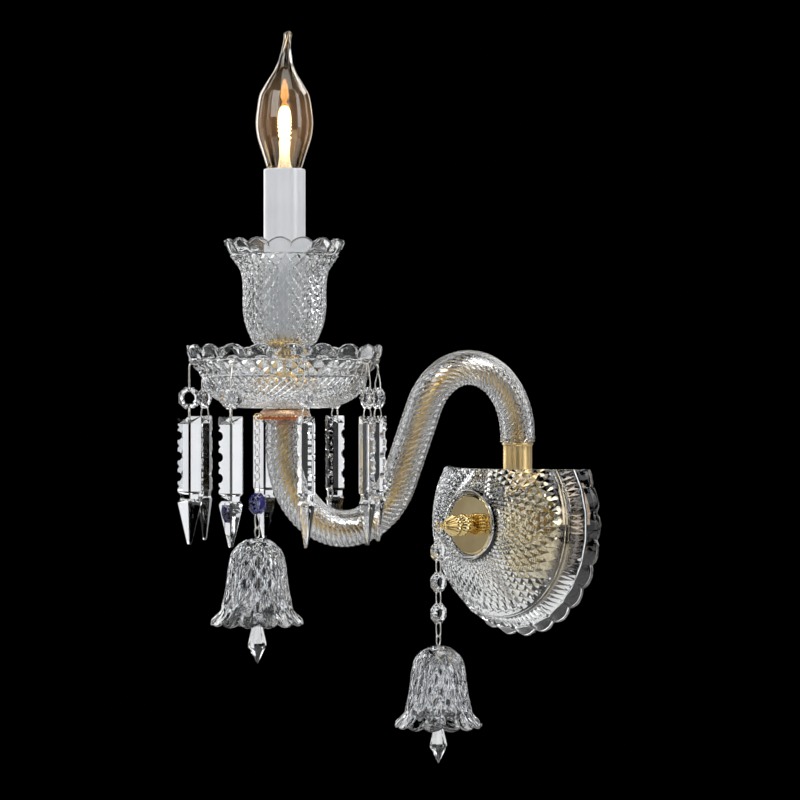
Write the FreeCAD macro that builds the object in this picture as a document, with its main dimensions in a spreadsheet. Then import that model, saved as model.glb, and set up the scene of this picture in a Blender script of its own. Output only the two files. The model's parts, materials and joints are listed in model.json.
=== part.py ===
# A crystal wall sconce: a glass half bowl on the wall, a rope-twist glass arm that
# arches over and swings up to one candle, and cut glass pendants and two bells.
# Frame: origin on the wall at the axis of the half bowl, +Y into the wall, +Z up.
import FreeCAD, Part
import math
import os
import re
import Sketcher

Vector = FreeCAD.Vector
doc = FreeCAD.newDocument("CrystalWallSconce")

# ---------------------------------------------------------------- driving sizes
# Millimetres, degrees and counts.
SIZES = {
    # wall bracket and the dish behind the half bowl
    "bracket_length": 90.0,
    "bracket_width": 20.0,
    "bracket_thickness": 2.5,
    "screw_spacing": 70.0,
    "screw_hole_radius": 2.4,
    "pan_clearance": 2.7,
    "pan_taper": 7.0,
    "pan_depth": 25.0,
    "pan_wall": 1.2,
    "pan_flat_height": 31.0,
    "pan_sides": 24.0,
    # half bowl, measured from its rim plane outward
    "bowl_standoff": 13.0,
    "bowl_radius": 75.0,
    "bowl_scallops": 26.0,
    "bowl_scallop_depth": 3.0,
    "bowl_band_radius": 60.0,
    "bowl_band_depth": 20.0,
    "bowl_dome_radius": 43.5,
    "bowl_dome_depth": 36.0,
    "bowl_foot_radius": 23.2,
    "bowl_foot_lip": 2.7,
    "bowl_depth": 46.5,
    "bowl_recess": 3.0,
    "bowl_wall": 4.0,
    "bowl_flat_height": 36.2,
    # centre rod, its nuts, the disc and the finial
    "rod_radius": 3.0,
    "rod_in_knob": 7.0,
    "nut_radius": 5.8,
    "nut_height": 4.0,
    "thread_clearance": 0.06,
    "rod_hole_clearance": 0.4,
    "rosette_radius": 19.6,
    "rosette_thickness": 1.5,
    "rosette_petals": 16.0,
    "knob_radius": 7.5,
    "knob_stem_radius": 4.6,
    "knob_length": 26.0,
    "knob_flutes": 8.0,
    "knob_flute_depth": 0.5,
    # post between the dish and the arm
    "post_offset": 13.5,
    "post_radius": 9.6,
    "post_collar": 0.6,
    "post_height": 22.0,
    "post_nipple_radius": 5.2,
    "post_nipple_length": 8.0,
    "spigot_length": 3.5,
    "spigot_clearance": 0.2,
    "lock_nut_radius": 8.5,
    "washer_radius": 8.0,
    "washer_thickness": 1.0,
    # glass arm: up, over in an arch, down a straight run, up again in a dip
    "arm_radius": 11.5,
    "arm_groove": 1.7,
    "arm_bore_radius": 6.4,
    "arm_starts": 8.0,
    "arm_pitch": 72.0,
    "arm_step": 7.2,
    "arm_rise": 4.0,
    "arch_radius": 45.0,
    "arm_sweep": 155.1,
    "arm_slant": 50.7,
    "dip_radius": 50.0,
    "arm_end_rise": 18.0,
    "core_radius": 4.0,
    "core_clearance": 0.1,
    "core_wall": 1.0,
    "core_in_holder": 6.0,
    # cap, tray, spacer and cup, stacked on the end of the arm
    "cap_radius": 17.0,
    "cap_height": 6.4,
    "cap_wall": 1.6,
    "cap_petals": 18.0,
    "cap_petal_depth": 0.8,
    "cap_eye_reach": 21.6,
    "tray_radius": 59.5,
    "tray_height": 39.0,
    "tray_band_radius": 58.0,
    "tray_band_height": 29.7,
    "tray_waist_radius": 50.0,
    "tray_waist_height": 17.6,
    "tray_floor_radius": 33.0,
    "tray_wall": 4.0,
    "tray_scallops": 20.0,
    "tray_scallop_depth": 4.5,
    "tray_hole_clearance": 1.2,
    "spacer_radius": 10.0,
    "spacer_waist": 7.0,
    "spacer_height": 27.6,
    "cup_radius": 36.6,
    "cup_height": 71.4,
    "cup_body_radius": 25.3,
    "cup_foot_radius": 11.5,
    "cup_foot_height": 4.0,
    "cup_neck_height": 52.0,
    "cup_collar_radius": 33.0,
    "cup_collar_height": 61.6,
    "cup_floor": 6.3,
    "cup_wall": 4.2,
    "cup_scallops": 16.0,
    "cup_scallop_depth": 3.2,
    "cut_depth": 0.7,
    # candle, lampholder and bulb
    "seat_radius": 14.6,
    "seat_height": 5.0,
    "seat_spigot": 6.0,
    "sleeve_radius": 12.75,
    "sleeve_wall": 1.0,
    "sleeve_length": 103.0,
    "sleeve_clearance": 0.1,
    "holder_radius": 11.2,
    "holder_height": 30.0,
    "holder_bore_radius": 7.15,
    "holder_floor": 4.0,
    "holder_below_sleeve": 2.5,
    "stem_radius": 5.5,
    "contact_width": 4.0,
    "contact_thickness": 0.5,
    "bulb_radius": 17.5,
    "bulb_neck_radius": 10.5,
    "bulb_length": 85.0,
    "bulb_tip_radius": 2.7,
    "bulb_wall": 0.8,
    "bulb_cap_radius": 6.9,
    "bulb_cap_length": 24.0,
    "bulb_cap_tip_radius": 2.4,
    "bulb_below_sleeve": 1.0,
    "filament_radius": 0.45,
    # hanging glass
    "wire_radius": 0.4,
    "wire_play": 0.15,
    "hole_radius": 0.85,
    "pendant_count": 8.0,
    "pendant_first_angle": 17.0,
    "hook_hole_height": 27.4,
    "hook_drop": 15.6,
    "bead_radius": 7.0,
    "bead_thickness": 5.0,
    "bead_table_radius": 3.6,
    "bead_hole_reach": 5.0,
    "link_length": 9.0,
    "bead_link_length": 10.0,
    "prism_length": 77.0,
    "prism_width": 14.0,
    "prism_thickness": 8.0,
    "prism_notches": 4.0,
    "prism_notch_depth": 1.3,
    "prism_bar_length": 38.0,
    "prism_waist": 7.0,
    "prism_tip_length": 25.0,
    "prism_hole_drop": 3.0,
    "prism_point": 0.4,
    "chain_links": 8.0,
    "chain_link_length": 5.45,
    "chain_link_width": 3.0,
    "ring_length": 6.6,
    "eye_radius": 2.2,
    "bell_height": 52.0,
    "bell_radius": 28.0,
    "bell_crown_radius": 6.0,
    "bell_shoulder_radius": 15.7,
    "bell_waist_radius": 18.85,
    "bell_band_radius": 21.1,
    "bell_band_depth": 39.6,
    "bell_wall": 3.4,
    "bell_scallops": 14.0,
    "bell_scallop_depth": 2.2,
    "bell_stem": 7.0,
    "clapper_length": 36.0,
    "clapper_radius": 5.75,
    "clapper_below_rim": 23.0,
    "rear_links": 3.0,
}

# Sizes that follow from the ones above, as sheet formulas.
FORMULAS = {
    "pan_radius": "sqrt(bracket_length ^ 2 + bracket_width ^ 2) / 2 + pan_clearance + pan_wall",
    "pan_front_radius": "pan_radius - pan_taper",
    "bowl_front": "bowl_standoff + bowl_depth - bowl_recess",
    "post_top": "pan_flat_height + post_height",
    "reach": "post_offset + (arch_radius + dip_radius) * (1 - cos(arm_sweep))"
             " + arm_slant * sin(arm_sweep)",
    "arm_end": "post_top + arm_rise + (arch_radius + dip_radius) * sin(arm_sweep)"
               " + arm_slant * cos(arm_sweep) + arm_end_rise",
    "tray_base": "arm_end + cap_height",
    "spacer_base": "tray_base + tray_wall",
    "cup_base": "spacer_base + spacer_height",
    "seat_base": "cup_base + cup_floor",
    "sleeve_base": "seat_base + seat_height",
    "sleeve_top": "sleeve_base + sleeve_length",
    "holder_top": "sleeve_top - holder_below_sleeve",
    "holder_base": "holder_top - holder_height",
    "bulb_base": "sleeve_top - bulb_below_sleeve",
    "core_top": "seat_base + seat_height + seat_spigot + core_in_holder",
    "hook_height": "tray_base + hook_hole_height",
    "bead_height": "hook_height - hook_drop - bead_hole_reach",
    "pin_height": "bead_height - bead_hole_reach - link_length",
}

sheet = doc.addObject("Spreadsheet::Sheet", "Sizes")
for row, (alias, value) in enumerate(SIZES.items(), start=1):
    sheet.set(f"A{row}", alias)
    sheet.set(f"B{row}", str(value))
    sheet.setAlias(f"B{row}", alias)
for row, (alias, formula) in enumerate(FORMULAS.items(), start=1):
    sheet.set(f"D{row}", alias)
    sheet.set(f"E{row}", "=" + formula)
    sheet.setAlias(f"E{row}", alias)
doc.recompute()

NAMES = set(SIZES) | set(FORMULAS)


def size(name):
    """A driving size, as a number."""
    return float(sheet.get(name))


def whole(name):
    """A driving count, as a whole number."""
    return int(round(size(name)))


def bound(text):
    """The same expression with every sheet name pointing at the sheet."""
    return re.sub(r"[a-z_]+", lambda m: f"Sizes.{m[0]}" if m[0] in NAMES else m[0], text)


def worked_out(text):
    """The value of an expression, for a first placing."""
    return float(sheet.evalExpression(bound(text)))


# ------------------------------------------------------------- sketch features
def origin_plane(body, role):
    return [plane for plane in body.Origin.OriginFeatures if plane.Role == role][0]


def placed(item, across="0", out="0", up="0", facing_out=False):
    """Put an object in the frame; facing_out turns its own Z away from the wall."""
    turn = FreeCAD.Rotation(Vector(1, 0, 0), 90 if facing_out else 0)
    item.Placement = FreeCAD.Placement(Vector(0, 0, 0), turn)
    item.setExpression("Placement.Base.x", bound(across))
    item.setExpression("Placement.Base.y", bound(out))
    item.setExpression("Placement.Base.z", bound(up))
    return item


def closed_sketch(body, role, corners):
    """A closed outline whose corners are pairs of expressions."""
    sketch = body.newObject("Sketcher::SketchObject", body.Name + "_outline")
    sketch.AttachmentSupport = [(origin_plane(body, role), "")]
    sketch.MapMode = "FlatFace"
    spots = [Vector(worked_out(x), worked_out(y), 0) for x, y in corners]
    count = len(spots)
    for index, spot in enumerate(spots):
        sketch.addGeometry(Part.LineSegment(spot, spots[(index + 1) % count]), False)
    for index in range(count):
        sketch.addConstraint(Sketcher.Constraint("Coincident", index, 2, (index + 1) % count, 1))
    for index, (x, y) in enumerate(corners):
        for kind, text, value, axis in (("DistanceX", x, spots[index].x, -2),
                                        ("DistanceY", y, spots[index].y, -1)):
            if text == "0":
                sketch.addConstraint(Sketcher.Constraint("PointOnObject", index, 1, axis))
            else:
                number = sketch.addConstraint(Sketcher.Constraint(kind, -1, 1, index, 1, value))
                sketch.setExpression(f"Constraints[{number}]", bound(text))
    return sketch


def turned(label, profile, **place):
    """A turned piece: (radius, height) expressions round its own Z."""
    body = doc.addObject("PartDesign::Body", label)
    sketch = closed_sketch(body, "XZ_Plane", profile)
    solid = body.newObject("PartDesign::Revolution", label + "_turned")
    solid.Profile = sketch
    solid.ReferenceAxis = (sketch, ["V_Axis"])
    solid.Angle = 360
    return placed(body, **place)


def prism_block(label, sides, radius, height):
    """A Part prism whose corner radius and height are bound to the sheet."""
    block = doc.addObject("Part::Prism", label)
    block.Polygon = sides
    block.setExpression("Circumradius", bound(radius))
    block.setExpression("Height", bound(height))
    return block


def hex_nut(label, radius, hole, height, **place):
    """A hexagon nut whose many-sided hole clears the thread at its flats."""
    sides = 12
    nut = doc.addObject("Part::Cut", label)
    nut.Base = prism_block(label + "_blank", 6, radius, height)
    nut.Tool = prism_block(label + "_drill", sides, f"({hole}) / cos({180 / sides})", height)
    return placed(nut, **place)


# ------------------------------------------------------------- faceted solids
def ring(count, radius, height, waves=0, radius_dip=0.0, height_dip=0.0, turn=0.0):
    """Points round Z; with waves, the ring dips between as many tips."""
    points = []
    for step in range(count):
        angle = 2 * math.pi * (step + turn) / count
        dip = (1 - math.cos(waves * 2 * math.pi * step / count)) / 2
        reach = radius - radius_dip * dip
        points.append(Vector(reach * math.cos(angle), reach * math.sin(angle),
                             height - height_dip * dip))
    return points


def cut_ring(count, radius, height, row, depth):
    """A ring of a diamond pattern: raised and low points alternate, row by row."""
    points = []
    for step in range(count):
        angle = 2 * math.pi * step / count
        reach = radius if (step + row) % 2 == 0 else radius - depth
        points.append(Vector(reach * math.cos(angle), reach * math.sin(angle), height))
    return points


def lathe(rows):
    """Rings from rows of (count, radius, height) and, on a cut row, its depth."""
    rings = []
    for number, row in enumerate(rows):
        if isinstance(row, list):
            rings.append(row)
        elif len(row) == 4:
            rings.append(cut_ring(row[0], row[1], row[2], number, row[3]))
        else:
            rings.append(ring(*row))
    return rings


def facet(*corners):
    return Part.Face(Part.makePolygon([*corners, corners[0]]))


def strip(first, second, row):
    """Triangles between two rings, of which one may have twice the points."""
    faces = []
    count = min(len(first), len(second))
    for step in range(count):
        after = (step + 1) % count
        if len(second) > count:
            near, middle, far = (second[2 * step], second[2 * step + 1],
                                 second[(2 * step + 2) % len(second)])
            faces.append(facet(first[step], middle, near))
            faces.append(facet(first[step], first[after], middle))
            faces.append(facet(first[after], far, middle))
        elif len(first) > count:
            near, middle, far = (first[2 * step], first[2 * step + 1],
                                 first[(2 * step + 2) % len(first)])
            faces.append(facet(near, middle, second[step]))
            faces.append(facet(middle, second[after], second[step]))
            faces.append(facet(middle, far, second[after]))
        elif (step + row) % 2 == 0:
            faces.append(facet(first[step], first[after], second[step]))
            faces.append(facet(first[after], second[after], second[step]))
        else:
            faces.append(facet(first[step], first[after], second[after]))
            faces.append(facet(first[step], second[after], second[step]))
    return faces


def faceted_solid(rings, through, roll=0):
    """A solid skinned over rings; through joins the last ring back to the first."""
    faces = []
    for row in range(len(rings) - 1):
        faces += strip(rings[row], rings[row + 1], row)
    if through:
        faces += strip(rings[-1], rings[0][roll:] + rings[0][:roll], len(rings) - 1)
    else:
        faces.append(facet(*reversed(rings[0])))
        faces.append(facet(*rings[-1]))
    shell = Part.makeShell(faces)
    shell.sewShape()
    solid = Part.makeSolid(shell)
    if solid.Volume < 0:
        solid.reverse()
    return solid


def feature(label, shape, spot=Vector(0, 0, 0), facing_out=False):
    """An object of the document that holds a shape worked out from the sheet."""
    item = doc.addObject("Part::Feature", label)
    item.Shape = shape
    turn = FreeCAD.Rotation(Vector(1, 0, 0), 90 if facing_out else 0)
    item.Placement = FreeCAD.Placement(spot, turn)
    return item


def wire_solid(points, closed, sides=4):
    """A wire along straight runs, mitred at its corners, of polygon section."""
    count = len(points)
    runs = []
    for index in range(count if closed else count - 1):
        run = points[(index + 1) % count] - points[index]
        run.normalize()
        runs.append(run)
    spread = Vector(1, 0, 0) if abs(runs[0].x) < 0.6 else Vector(0, 1, 0)
    side = runs[0].cross(spread)
    side.normalize()
    other = runs[0].cross(side)
    radius = size("wire_radius")
    section = []
    for step in range(sides):
        angle = 2 * math.pi * (step + 0.5) / sides
        section.append(points[0] + side * (radius * math.cos(angle))
                       + other * (radius * math.sin(angle)))

    def moved_on(corners, run, spot, plane):
        return [c + run * ((spot - c).dot(plane) / run.dot(plane)) for c in corners]

    start = runs[-1] + runs[0] if closed else runs[0]
    rings = [moved_on(section, runs[0], points[0], start)]
    for index in range(1, count):
        leaving = runs[index] if index < len(runs) else runs[index - 1]
        rings.append(moved_on(rings[-1], runs[index - 1], points[index],
                              runs[index - 1] + leaving))
    return faceted_solid(rings, closed)


def loop(length, width, middle, plane_turn=0.0):
    """A closed oval wire in an upright plane; plane_turn is its angle from X."""
    half_length = length / 2
    half_width = width / 2
    shoulder = half_length - 0.45 * half_width
    outline = [(0, half_length), (half_width, shoulder), (half_width, -shoulder),
               (0, -half_length), (-half_width, -shoulder), (-half_width, shoulder)]
    turn = math.radians(plane_turn)
    points = [middle + Vector(u * math.cos(turn), u * math.sin(turn), v) for u, v in outline]
    return wire_solid(points, True)


def drill(radius, length, spot, along, sides=4):
    """A many-sided drill centred on spot."""
    corners = ring(sides, radius, -length / 2)
    cutter = facet(*corners).extrude(Vector(0, 0, length))
    cutter.Placement = FreeCAD.Placement(spot, FreeCAD.Rotation(Vector(0, 0, 1), along))
    return cutter


# ---------------------------------------------------------------- on the wall
def round_hole(sketch, radius, across):
    """A circle in a sketch, centred on the level axis."""
    circle = Part.Circle(Vector(worked_out(across), 0, 0), Vector(0, 0, 1), worked_out(radius))
    number = sketch.addGeometry(circle, False)
    sized = sketch.addConstraint(Sketcher.Constraint("Radius", number, worked_out(radius)))
    sketch.setExpression(f"Constraints[{sized}]", bound(radius))
    sketch.addConstraint(Sketcher.Constraint("PointOnObject", number, 3, -1))
    if across == "0":
        sketch.addConstraint(Sketcher.Constraint("PointOnObject", number, 3, -2))
    else:
        shifted = Sketcher.Constraint("DistanceX", -1, 1, number, 3, worked_out(across))
        sketch.setExpression(f"Constraints[{sketch.addConstraint(shifted)}]", bound(across))


def wall_bracket():
    body = doc.addObject("PartDesign::Body", "wall_bracket")
    outline = closed_sketch(body, "XZ_Plane", [
        ("-bracket_length / 2", "-bracket_width / 2"), ("bracket_length / 2", "-bracket_width / 2"),
        ("bracket_length / 2", "bracket_width / 2"), ("-bracket_length / 2", "bracket_width / 2")])
    round_hole(outline, "screw_hole_radius", "-screw_spacing / 2")
    round_hole(outline, "screw_hole_radius", "screw_spacing / 2")
    round_hole(outline, "rod_radius + thread_clearance", "0")
    plate = body.newObject("PartDesign::Pad", "bracket_plate")
    plate.Profile = outline
    plate.setExpression("Length", bound("bracket_thickness"))
    return body


def back_pan():
    sides = whole("pan_sides")
    wall = size("pan_wall")
    depth = size("pan_depth")
    rim = size("pan_radius")
    front = size("pan_front_radius")
    hole = size("rod_radius") + size("rod_hole_clearance")
    dish = faceted_solid(lathe([
        (sides, rim, 0), (sides, front, depth), (sides // 2, hole, depth),
        (sides // 2, hole, depth - wall), (sides, front - wall, depth - wall),
        (sides, rim - wall, 0)]), True)
    block = faceted_solid(lathe([(sides, rim, 0), (sides, front, depth)]), False)
    top = size("pan_flat_height")
    above = Part.makeBox(2 * rim, rim, depth, Vector(-rim, top, 0))
    slab = Part.makeBox(2 * rim, wall, depth, Vector(-rim, top - wall, 0))
    nipple = size("post_nipple_radius") + size("rod_hole_clearance")
    entry = drill(nipple, 3 * wall, Vector(0, top, size("post_offset")), Vector(0, 1, 0), 16)
    pan = dish.cut(above).fuse(block.common(slab)).removeSplitter().cut(entry)
    return feature("back_pan", pan, facing_out=True)


def half_bowl():
    points = whole("bowl_scallops")
    wall = size("bowl_wall")
    rim = size("bowl_radius")
    band = size("bowl_band_radius")
    band_depth = size("bowl_band_depth")
    dome = size("bowl_dome_radius")
    dome_depth = size("bowl_dome_depth")
    foot = size("bowl_foot_radius")
    depth = size("bowl_depth")
    floor = depth - size("bowl_recess")
    inside = floor - wall
    hole = size("rod_radius") + size("rod_hole_clearance")
    well = foot - size("bowl_foot_lip")
    notch = size("bowl_scallop_depth")
    cut = size("cut_depth")
    bowl = faceted_solid(lathe([
        (points, hole, floor),
        (points, well, floor),
        (points, well, depth),
        (points, foot, depth),
        (2 * points, foot + cut, floor + cut),
        (2 * points, (foot + dome) / 2, (floor + dome_depth + wall) / 2, cut),
        (2 * points, dome, dome_depth, cut),
        (2 * points, (dome + band) / 2, (dome_depth + band_depth) / 2 + cut, cut),
        (2 * points, band, band_depth),
        ring(4 * points, rim, 0, points, notch),
        ring(4 * points, rim - wall, cut, points, notch),
        (2 * points, band - wall, band_depth - wall / 2),
        (points, dome - wall / 2, dome_depth - wall),
        (points, foot, inside),
        (points, hole, inside)]), True)
    above = Part.makeBox(2 * rim, rim, 2 * depth, Vector(-rim, size("bowl_flat_height"), -depth / 2))
    return feature("half_bowl", bowl.cut(above), Vector(0, -size("bowl_standoff"), 0), True)


def centre_rod():
    length = "bowl_front + rod_in_knob - bracket_thickness / 2 + rosette_thickness"
    return turned("centre_rod", [("0", "0"), ("rod_radius", "0"), ("rod_radius", length),
                                 ("0", length)],
                  out="-bracket_thickness / 2", facing_out=True)


def rosette_disc():
    petals = whole("rosette_petals")
    radius = size("rosette_radius")
    thickness = size("rosette_thickness")
    hole = size("rod_radius") + size("rod_hole_clearance")
    disc = faceted_solid(lathe([
        (petals, hole, 0), (petals, radius - thickness, 0),
        ring(2 * petals, radius, thickness / 2, petals, thickness / 2),
        (petals, radius - 2 * thickness, thickness), (petals, hole, thickness)]), True)
    return feature("rosette_disc", disc, Vector(0, -size("bowl_front"), 0), True)


def hanging_eye(spot, stem):
    """A wire eye in the upright plane of the arm, on a short stem that runs to spot."""
    radius = size("eye_radius")
    points = []
    for step in range(8):
        angle = 2 * math.pi * (step + 0.5) / 8
        points.append(spot + Vector(0, radius * math.cos(angle), radius * math.sin(angle)))
    hoop = wire_solid(points, True)
    shank = wire_solid([spot + stem, spot + stem * (radius / stem.Length * 0.95)], False)
    return hoop.fuse(shank)


def knob_eye_spot():
    """The middle of the eye in front of the tip of the finial."""
    knob = size("bowl_front") + size("rosette_thickness") + size("knob_length")
    return Vector(0, -knob - size("eye_radius"), 0)


def finial_knob():
    flutes = whole("knob_flutes")
    stem = size("knob_stem_radius")
    radius = size("knob_radius")
    dip = size("knob_flute_depth")
    length = size("knob_length")
    socket = size("rod_radius") + size("thread_clearance")
    deep = size("rod_in_knob") + 2 * dip
    rows = [(2 * flutes, socket, deep), (2 * flutes, socket, 0), (2 * flutes, stem, 0),
            (2 * flutes, stem, length * 0.08)]
    for share, height in ((0.9, 0.15), (1.0, 0.26), (0.86, 0.38), (0.66, 0.43), (0.97, 0.52),
                          (0.9, 0.66)):
        rows.append(ring(2 * flutes, radius * share, length * height, flutes, dip))
    rows.append((flutes, dip * 2.4, length * 0.95))
    rows.append((flutes, dip * 1.6, length))
    knob = faceted_solid(lathe(rows), False)
    knob.Placement = FreeCAD.Placement(Vector(0, -size("bowl_front") - size("rosette_thickness"), 0),
                                       FreeCAD.Rotation(Vector(1, 0, 0), 90))
    eye = hanging_eye(knob_eye_spot(), Vector(0, 2.2 * size("eye_radius"), 0))
    return feature("finial_knob", knob.fuse(eye))


def fasteners():
    """Nuts on the centre rod and the lock nut and washer under the top of the dish."""
    pieces = []
    on_rod = "rod_radius + thread_clearance"
    behind_bowl = "bowl_front - bowl_wall - nut_height"
    for name, out in (("bracket_nut", "-bracket_thickness"), ("pan_nut", "-pan_depth"),
                      ("bowl_nut", f"-({behind_bowl})")):
        pieces.append(hex_nut(name, "nut_radius", on_rod, "nut_height", out=out, facing_out=True))
    under = "pan_flat_height - pan_wall - washer_thickness"
    pieces.append(hex_nut("post_washer", "washer_radius", "post_nipple_radius + thread_clearance",
                          "washer_thickness", out="-post_offset", up=under))
    pieces.append(hex_nut("post_nut", "lock_nut_radius", "post_nipple_radius + thread_clearance",
                          "nut_height", out="-post_offset", up=under + " - nut_height"))
    group = doc.addObject("Part::Compound", "fasteners")
    group.Links = pieces
    return group


# --------------------------------------------------------------------- the arm
def arm_post():
    """The ferrule on the dish, with a nipple below it and a spigot above it."""
    sides = 16
    radius = size("post_radius")
    collar = size("post_collar")
    tall = size("post_height")
    nipple = size("post_nipple_radius")
    below = -size("post_nipple_length")
    spigot = size("arm_bore_radius") - size("spigot_clearance")
    above = tall + size("spigot_length")
    bore = core_hole()
    post = faceted_solid(lathe([
        (sides, bore, below), (sides, nipple, below), (sides, nipple, 0),
        (sides, radius + collar, 0), (sides, radius, 3 * collar),
        (sides, radius, tall - 3 * collar), (sides, radius + collar, tall),
        (sides, spigot, tall), (sides, spigot, above), (sides, bore, above)]), True)
    return feature("arm_post", post, Vector(0, -size("post_offset"), size("pan_flat_height")))


def arm_route(step, start, end):
    """Places along the middle of the arm, as (spot, heading from upright in degrees)."""
    sweep = size("arm_sweep")
    runs = [("straight", size("arm_rise") - start, 0), ("bend", size("arch_radius"), sweep),
            ("straight", size("arm_slant"), 0), ("bend", size("dip_radius"), -sweep),
            ("straight", size("arm_end_rise") + end, 0)]
    spot = Vector(0, -size("post_offset"), size("post_top") + start)
    heading = 0.0
    places = [(spot, heading)]
    for kind, measure, turn in runs:
        length = measure if kind == "straight" else measure * math.radians(abs(turn))
        steps = max(1, round(length / step))
        for _ in range(steps):
            if kind == "straight":
                chord = length / steps
                along = heading
            else:
                part = turn / steps
                chord = 2 * measure * math.sin(math.radians(abs(part)) / 2)
                along = heading + part / 2
                heading += part
            lean = math.radians(along)
            spot = spot + Vector(0, -chord * math.sin(lean), chord * math.cos(lean))
            places.append((spot, heading))
    return places


def arm_section(place, count, radius, groove, turn):
    """A ring square to the arm; every other point lies in a groove."""
    spot, heading = place
    lean = math.radians(heading)
    points = []
    for step in range(count):
        angle = 2 * math.pi * (step + turn) / count
        reach = radius if step % 2 == 0 else radius - groove
        points.append(spot + Vector(reach * math.cos(angle),
                                    reach * math.sin(angle) * math.cos(lean),
                                    reach * math.sin(angle) * math.sin(lean)))
    return points


def arm_glass():
    """Rope twist: ridges wind round the arm, one ridge on at every step of the route."""
    starts = whole("arm_starts")
    bore = size("arm_bore_radius") / math.cos(math.pi / starts)
    step = size("arm_pitch") / starts
    outside = arm_route(step, 0, 0)
    inside = list(reversed(arm_route(2 * step, 0, 0)))
    rings = [arm_section(place, 2 * starts, size("arm_radius"), size("arm_groove"), 2 * number)
             for number, place in enumerate(outside)]
    winds = len(outside) - 1
    rings += [arm_section(place, starts, bore, 0, winds) for place in inside]
    return feature("arm_glass", faceted_solid(rings, True, roll=2 * (winds % starts)))


def arm_core():
    """The metal tube inside the arm; it goes on up and carries cap, tray and cup."""
    sides = 6
    corner = math.cos(math.pi / sides)
    below = -size("post_height") / 2
    above = size("core_top") - size("arm_end")
    step = 2 * size("arm_pitch") / size("arm_starts")
    route = arm_route(step, below, above)
    outer = [arm_section(place, sides, size("core_radius"), 0, 0) for place in route]
    inner = [arm_section(place, sides, size("core_radius") * corner - size("core_wall"), 0, 0)
             for place in reversed(route)]
    return feature("arm_core", faceted_solid(outer + inner, True))


def candle_axis(height):
    return Vector(0, -size("reach"), height)


def core_hole():
    return size("core_radius") + size("core_clearance")


def arm_cap():
    petals = whole("cap_petals")
    radius = size("cap_radius")
    tall = size("cap_height")
    wall = size("cap_wall")
    dip = size("cap_petal_depth")
    hole = core_hole()
    spigot = size("arm_bore_radius") - size("spigot_clearance")
    low = wall / 4
    cap = faceted_solid(lathe([
        (petals, hole, tall),
        (petals, radius * 0.74, tall),
        ring(2 * petals, radius, tall * 0.4, petals, dip),
        ring(2 * petals, radius, low, petals, dip),
        ring(2 * petals, radius - wall, low, petals, dip),
        (petals, radius * 0.7, tall - wall),
        (petals, radius * 0.56, tall - wall),
        (petals, radius * 0.53, 0),
        (petals, spigot, 0),
        (petals, spigot, -size("spigot_length")),
        (petals, hole, -size("spigot_length"))]), True)
    cap.Placement = FreeCAD.Placement(candle_axis(size("arm_end")), FreeCAD.Rotation())
    inward = size("cap_eye_reach") - size("cap_radius") + wall
    eye = hanging_eye(cap_eye_spot(), Vector(0, inward, 0))
    return feature("arm_cap", cap.fuse(eye))


def cap_eye_spot():
    """The middle of the eye on the front of the cap."""
    lift = size("cap_height") * 0.25
    return candle_axis(size("arm_end") + lift) - Vector(0, size("cap_eye_reach"), 0)


# ------------------------------------------------------------------ the candle
def hook_angles():
    """Where the pendants hang round the tray, in degrees from +X."""
    count = whole("pendant_count")
    return [size("pendant_first_angle") + 360 * number / count for number in range(count)]


def candle_tray():
    points = whole("tray_scallops")
    wall = size("tray_wall")
    rim = size("tray_radius")
    tall = size("tray_height")
    band = size("tray_band_radius")
    band_height = size("tray_band_height")
    waist = size("tray_waist_radius")
    waist_height = size("tray_waist_height")
    floor = size("tray_floor_radius")
    hole = core_hole() + size("tray_hole_clearance")
    cut = size("cut_depth")
    notch = size("tray_scallop_depth")
    tray = faceted_solid(lathe([
        (points, hole, 0),
        (2 * points, floor - 2 * cut, 0),
        (2 * points, floor, 3 * cut),
        (2 * points, (floor + waist) / 2 + 2 * cut, waist_height * 0.38, cut),
        (2 * points, waist - cut, waist_height * 0.8, cut),
        (2 * points, waist, waist_height, cut),
        (2 * points, waist + cut, waist_height + wall),
        (2 * points, (waist + band) / 2 + cut, (waist_height + wall + band_height) / 2, cut),
        (2 * points, band, band_height),
        ring(4 * points, rim, tall, points, 0, notch),
        ring(4 * points, rim - wall * 0.7, tall, points, 0, notch),
        (2 * points, band - wall * 0.8, band_height),
        (2 * points, waist - wall * 0.7, waist_height + wall * 0.8),
        (points, (floor + waist) / 2, waist_height * 0.5 + wall * 0.3),
        (points, floor - wall * 0.4, wall),
        (points, hole, wall)]), True)
    height = size("hook_hole_height")
    holes = []
    for angle in hook_angles():
        out = Vector(math.cos(math.radians(angle)), math.sin(math.radians(angle)), 0)
        middle = out * hook_wall_middle() + Vector(0, 0, height)
        holes.append(drill(size("hole_radius"), 3 * wall, middle, out))
    return feature("candle_tray", tray.cut(holes), candle_axis(size("tray_base")))


def hook_wall_middle():
    """How far from the candle axis the middle of the tray's wall is at the hook holes."""
    return (size("tray_waist_radius") + size("tray_band_radius")) / 2 + size("hole_radius") / 2


def cup_spacer():
    sides = 12
    radius = size("spacer_radius")
    waist = size("spacer_waist")
    tall = size("spacer_height")
    hole = core_hole()
    lip = radius - waist
    column = faceted_solid(lathe([
        (sides, hole, 0), (sides, radius, 0), (sides, radius, lip), (sides, waist, 2 * lip),
        (sides, waist, tall - 2 * lip), (sides, radius, tall - lip), (sides, radius, tall),
        (sides, hole, tall)]), True)
    return feature("cup_spacer", column, candle_axis(size("spacer_base")))


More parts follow.
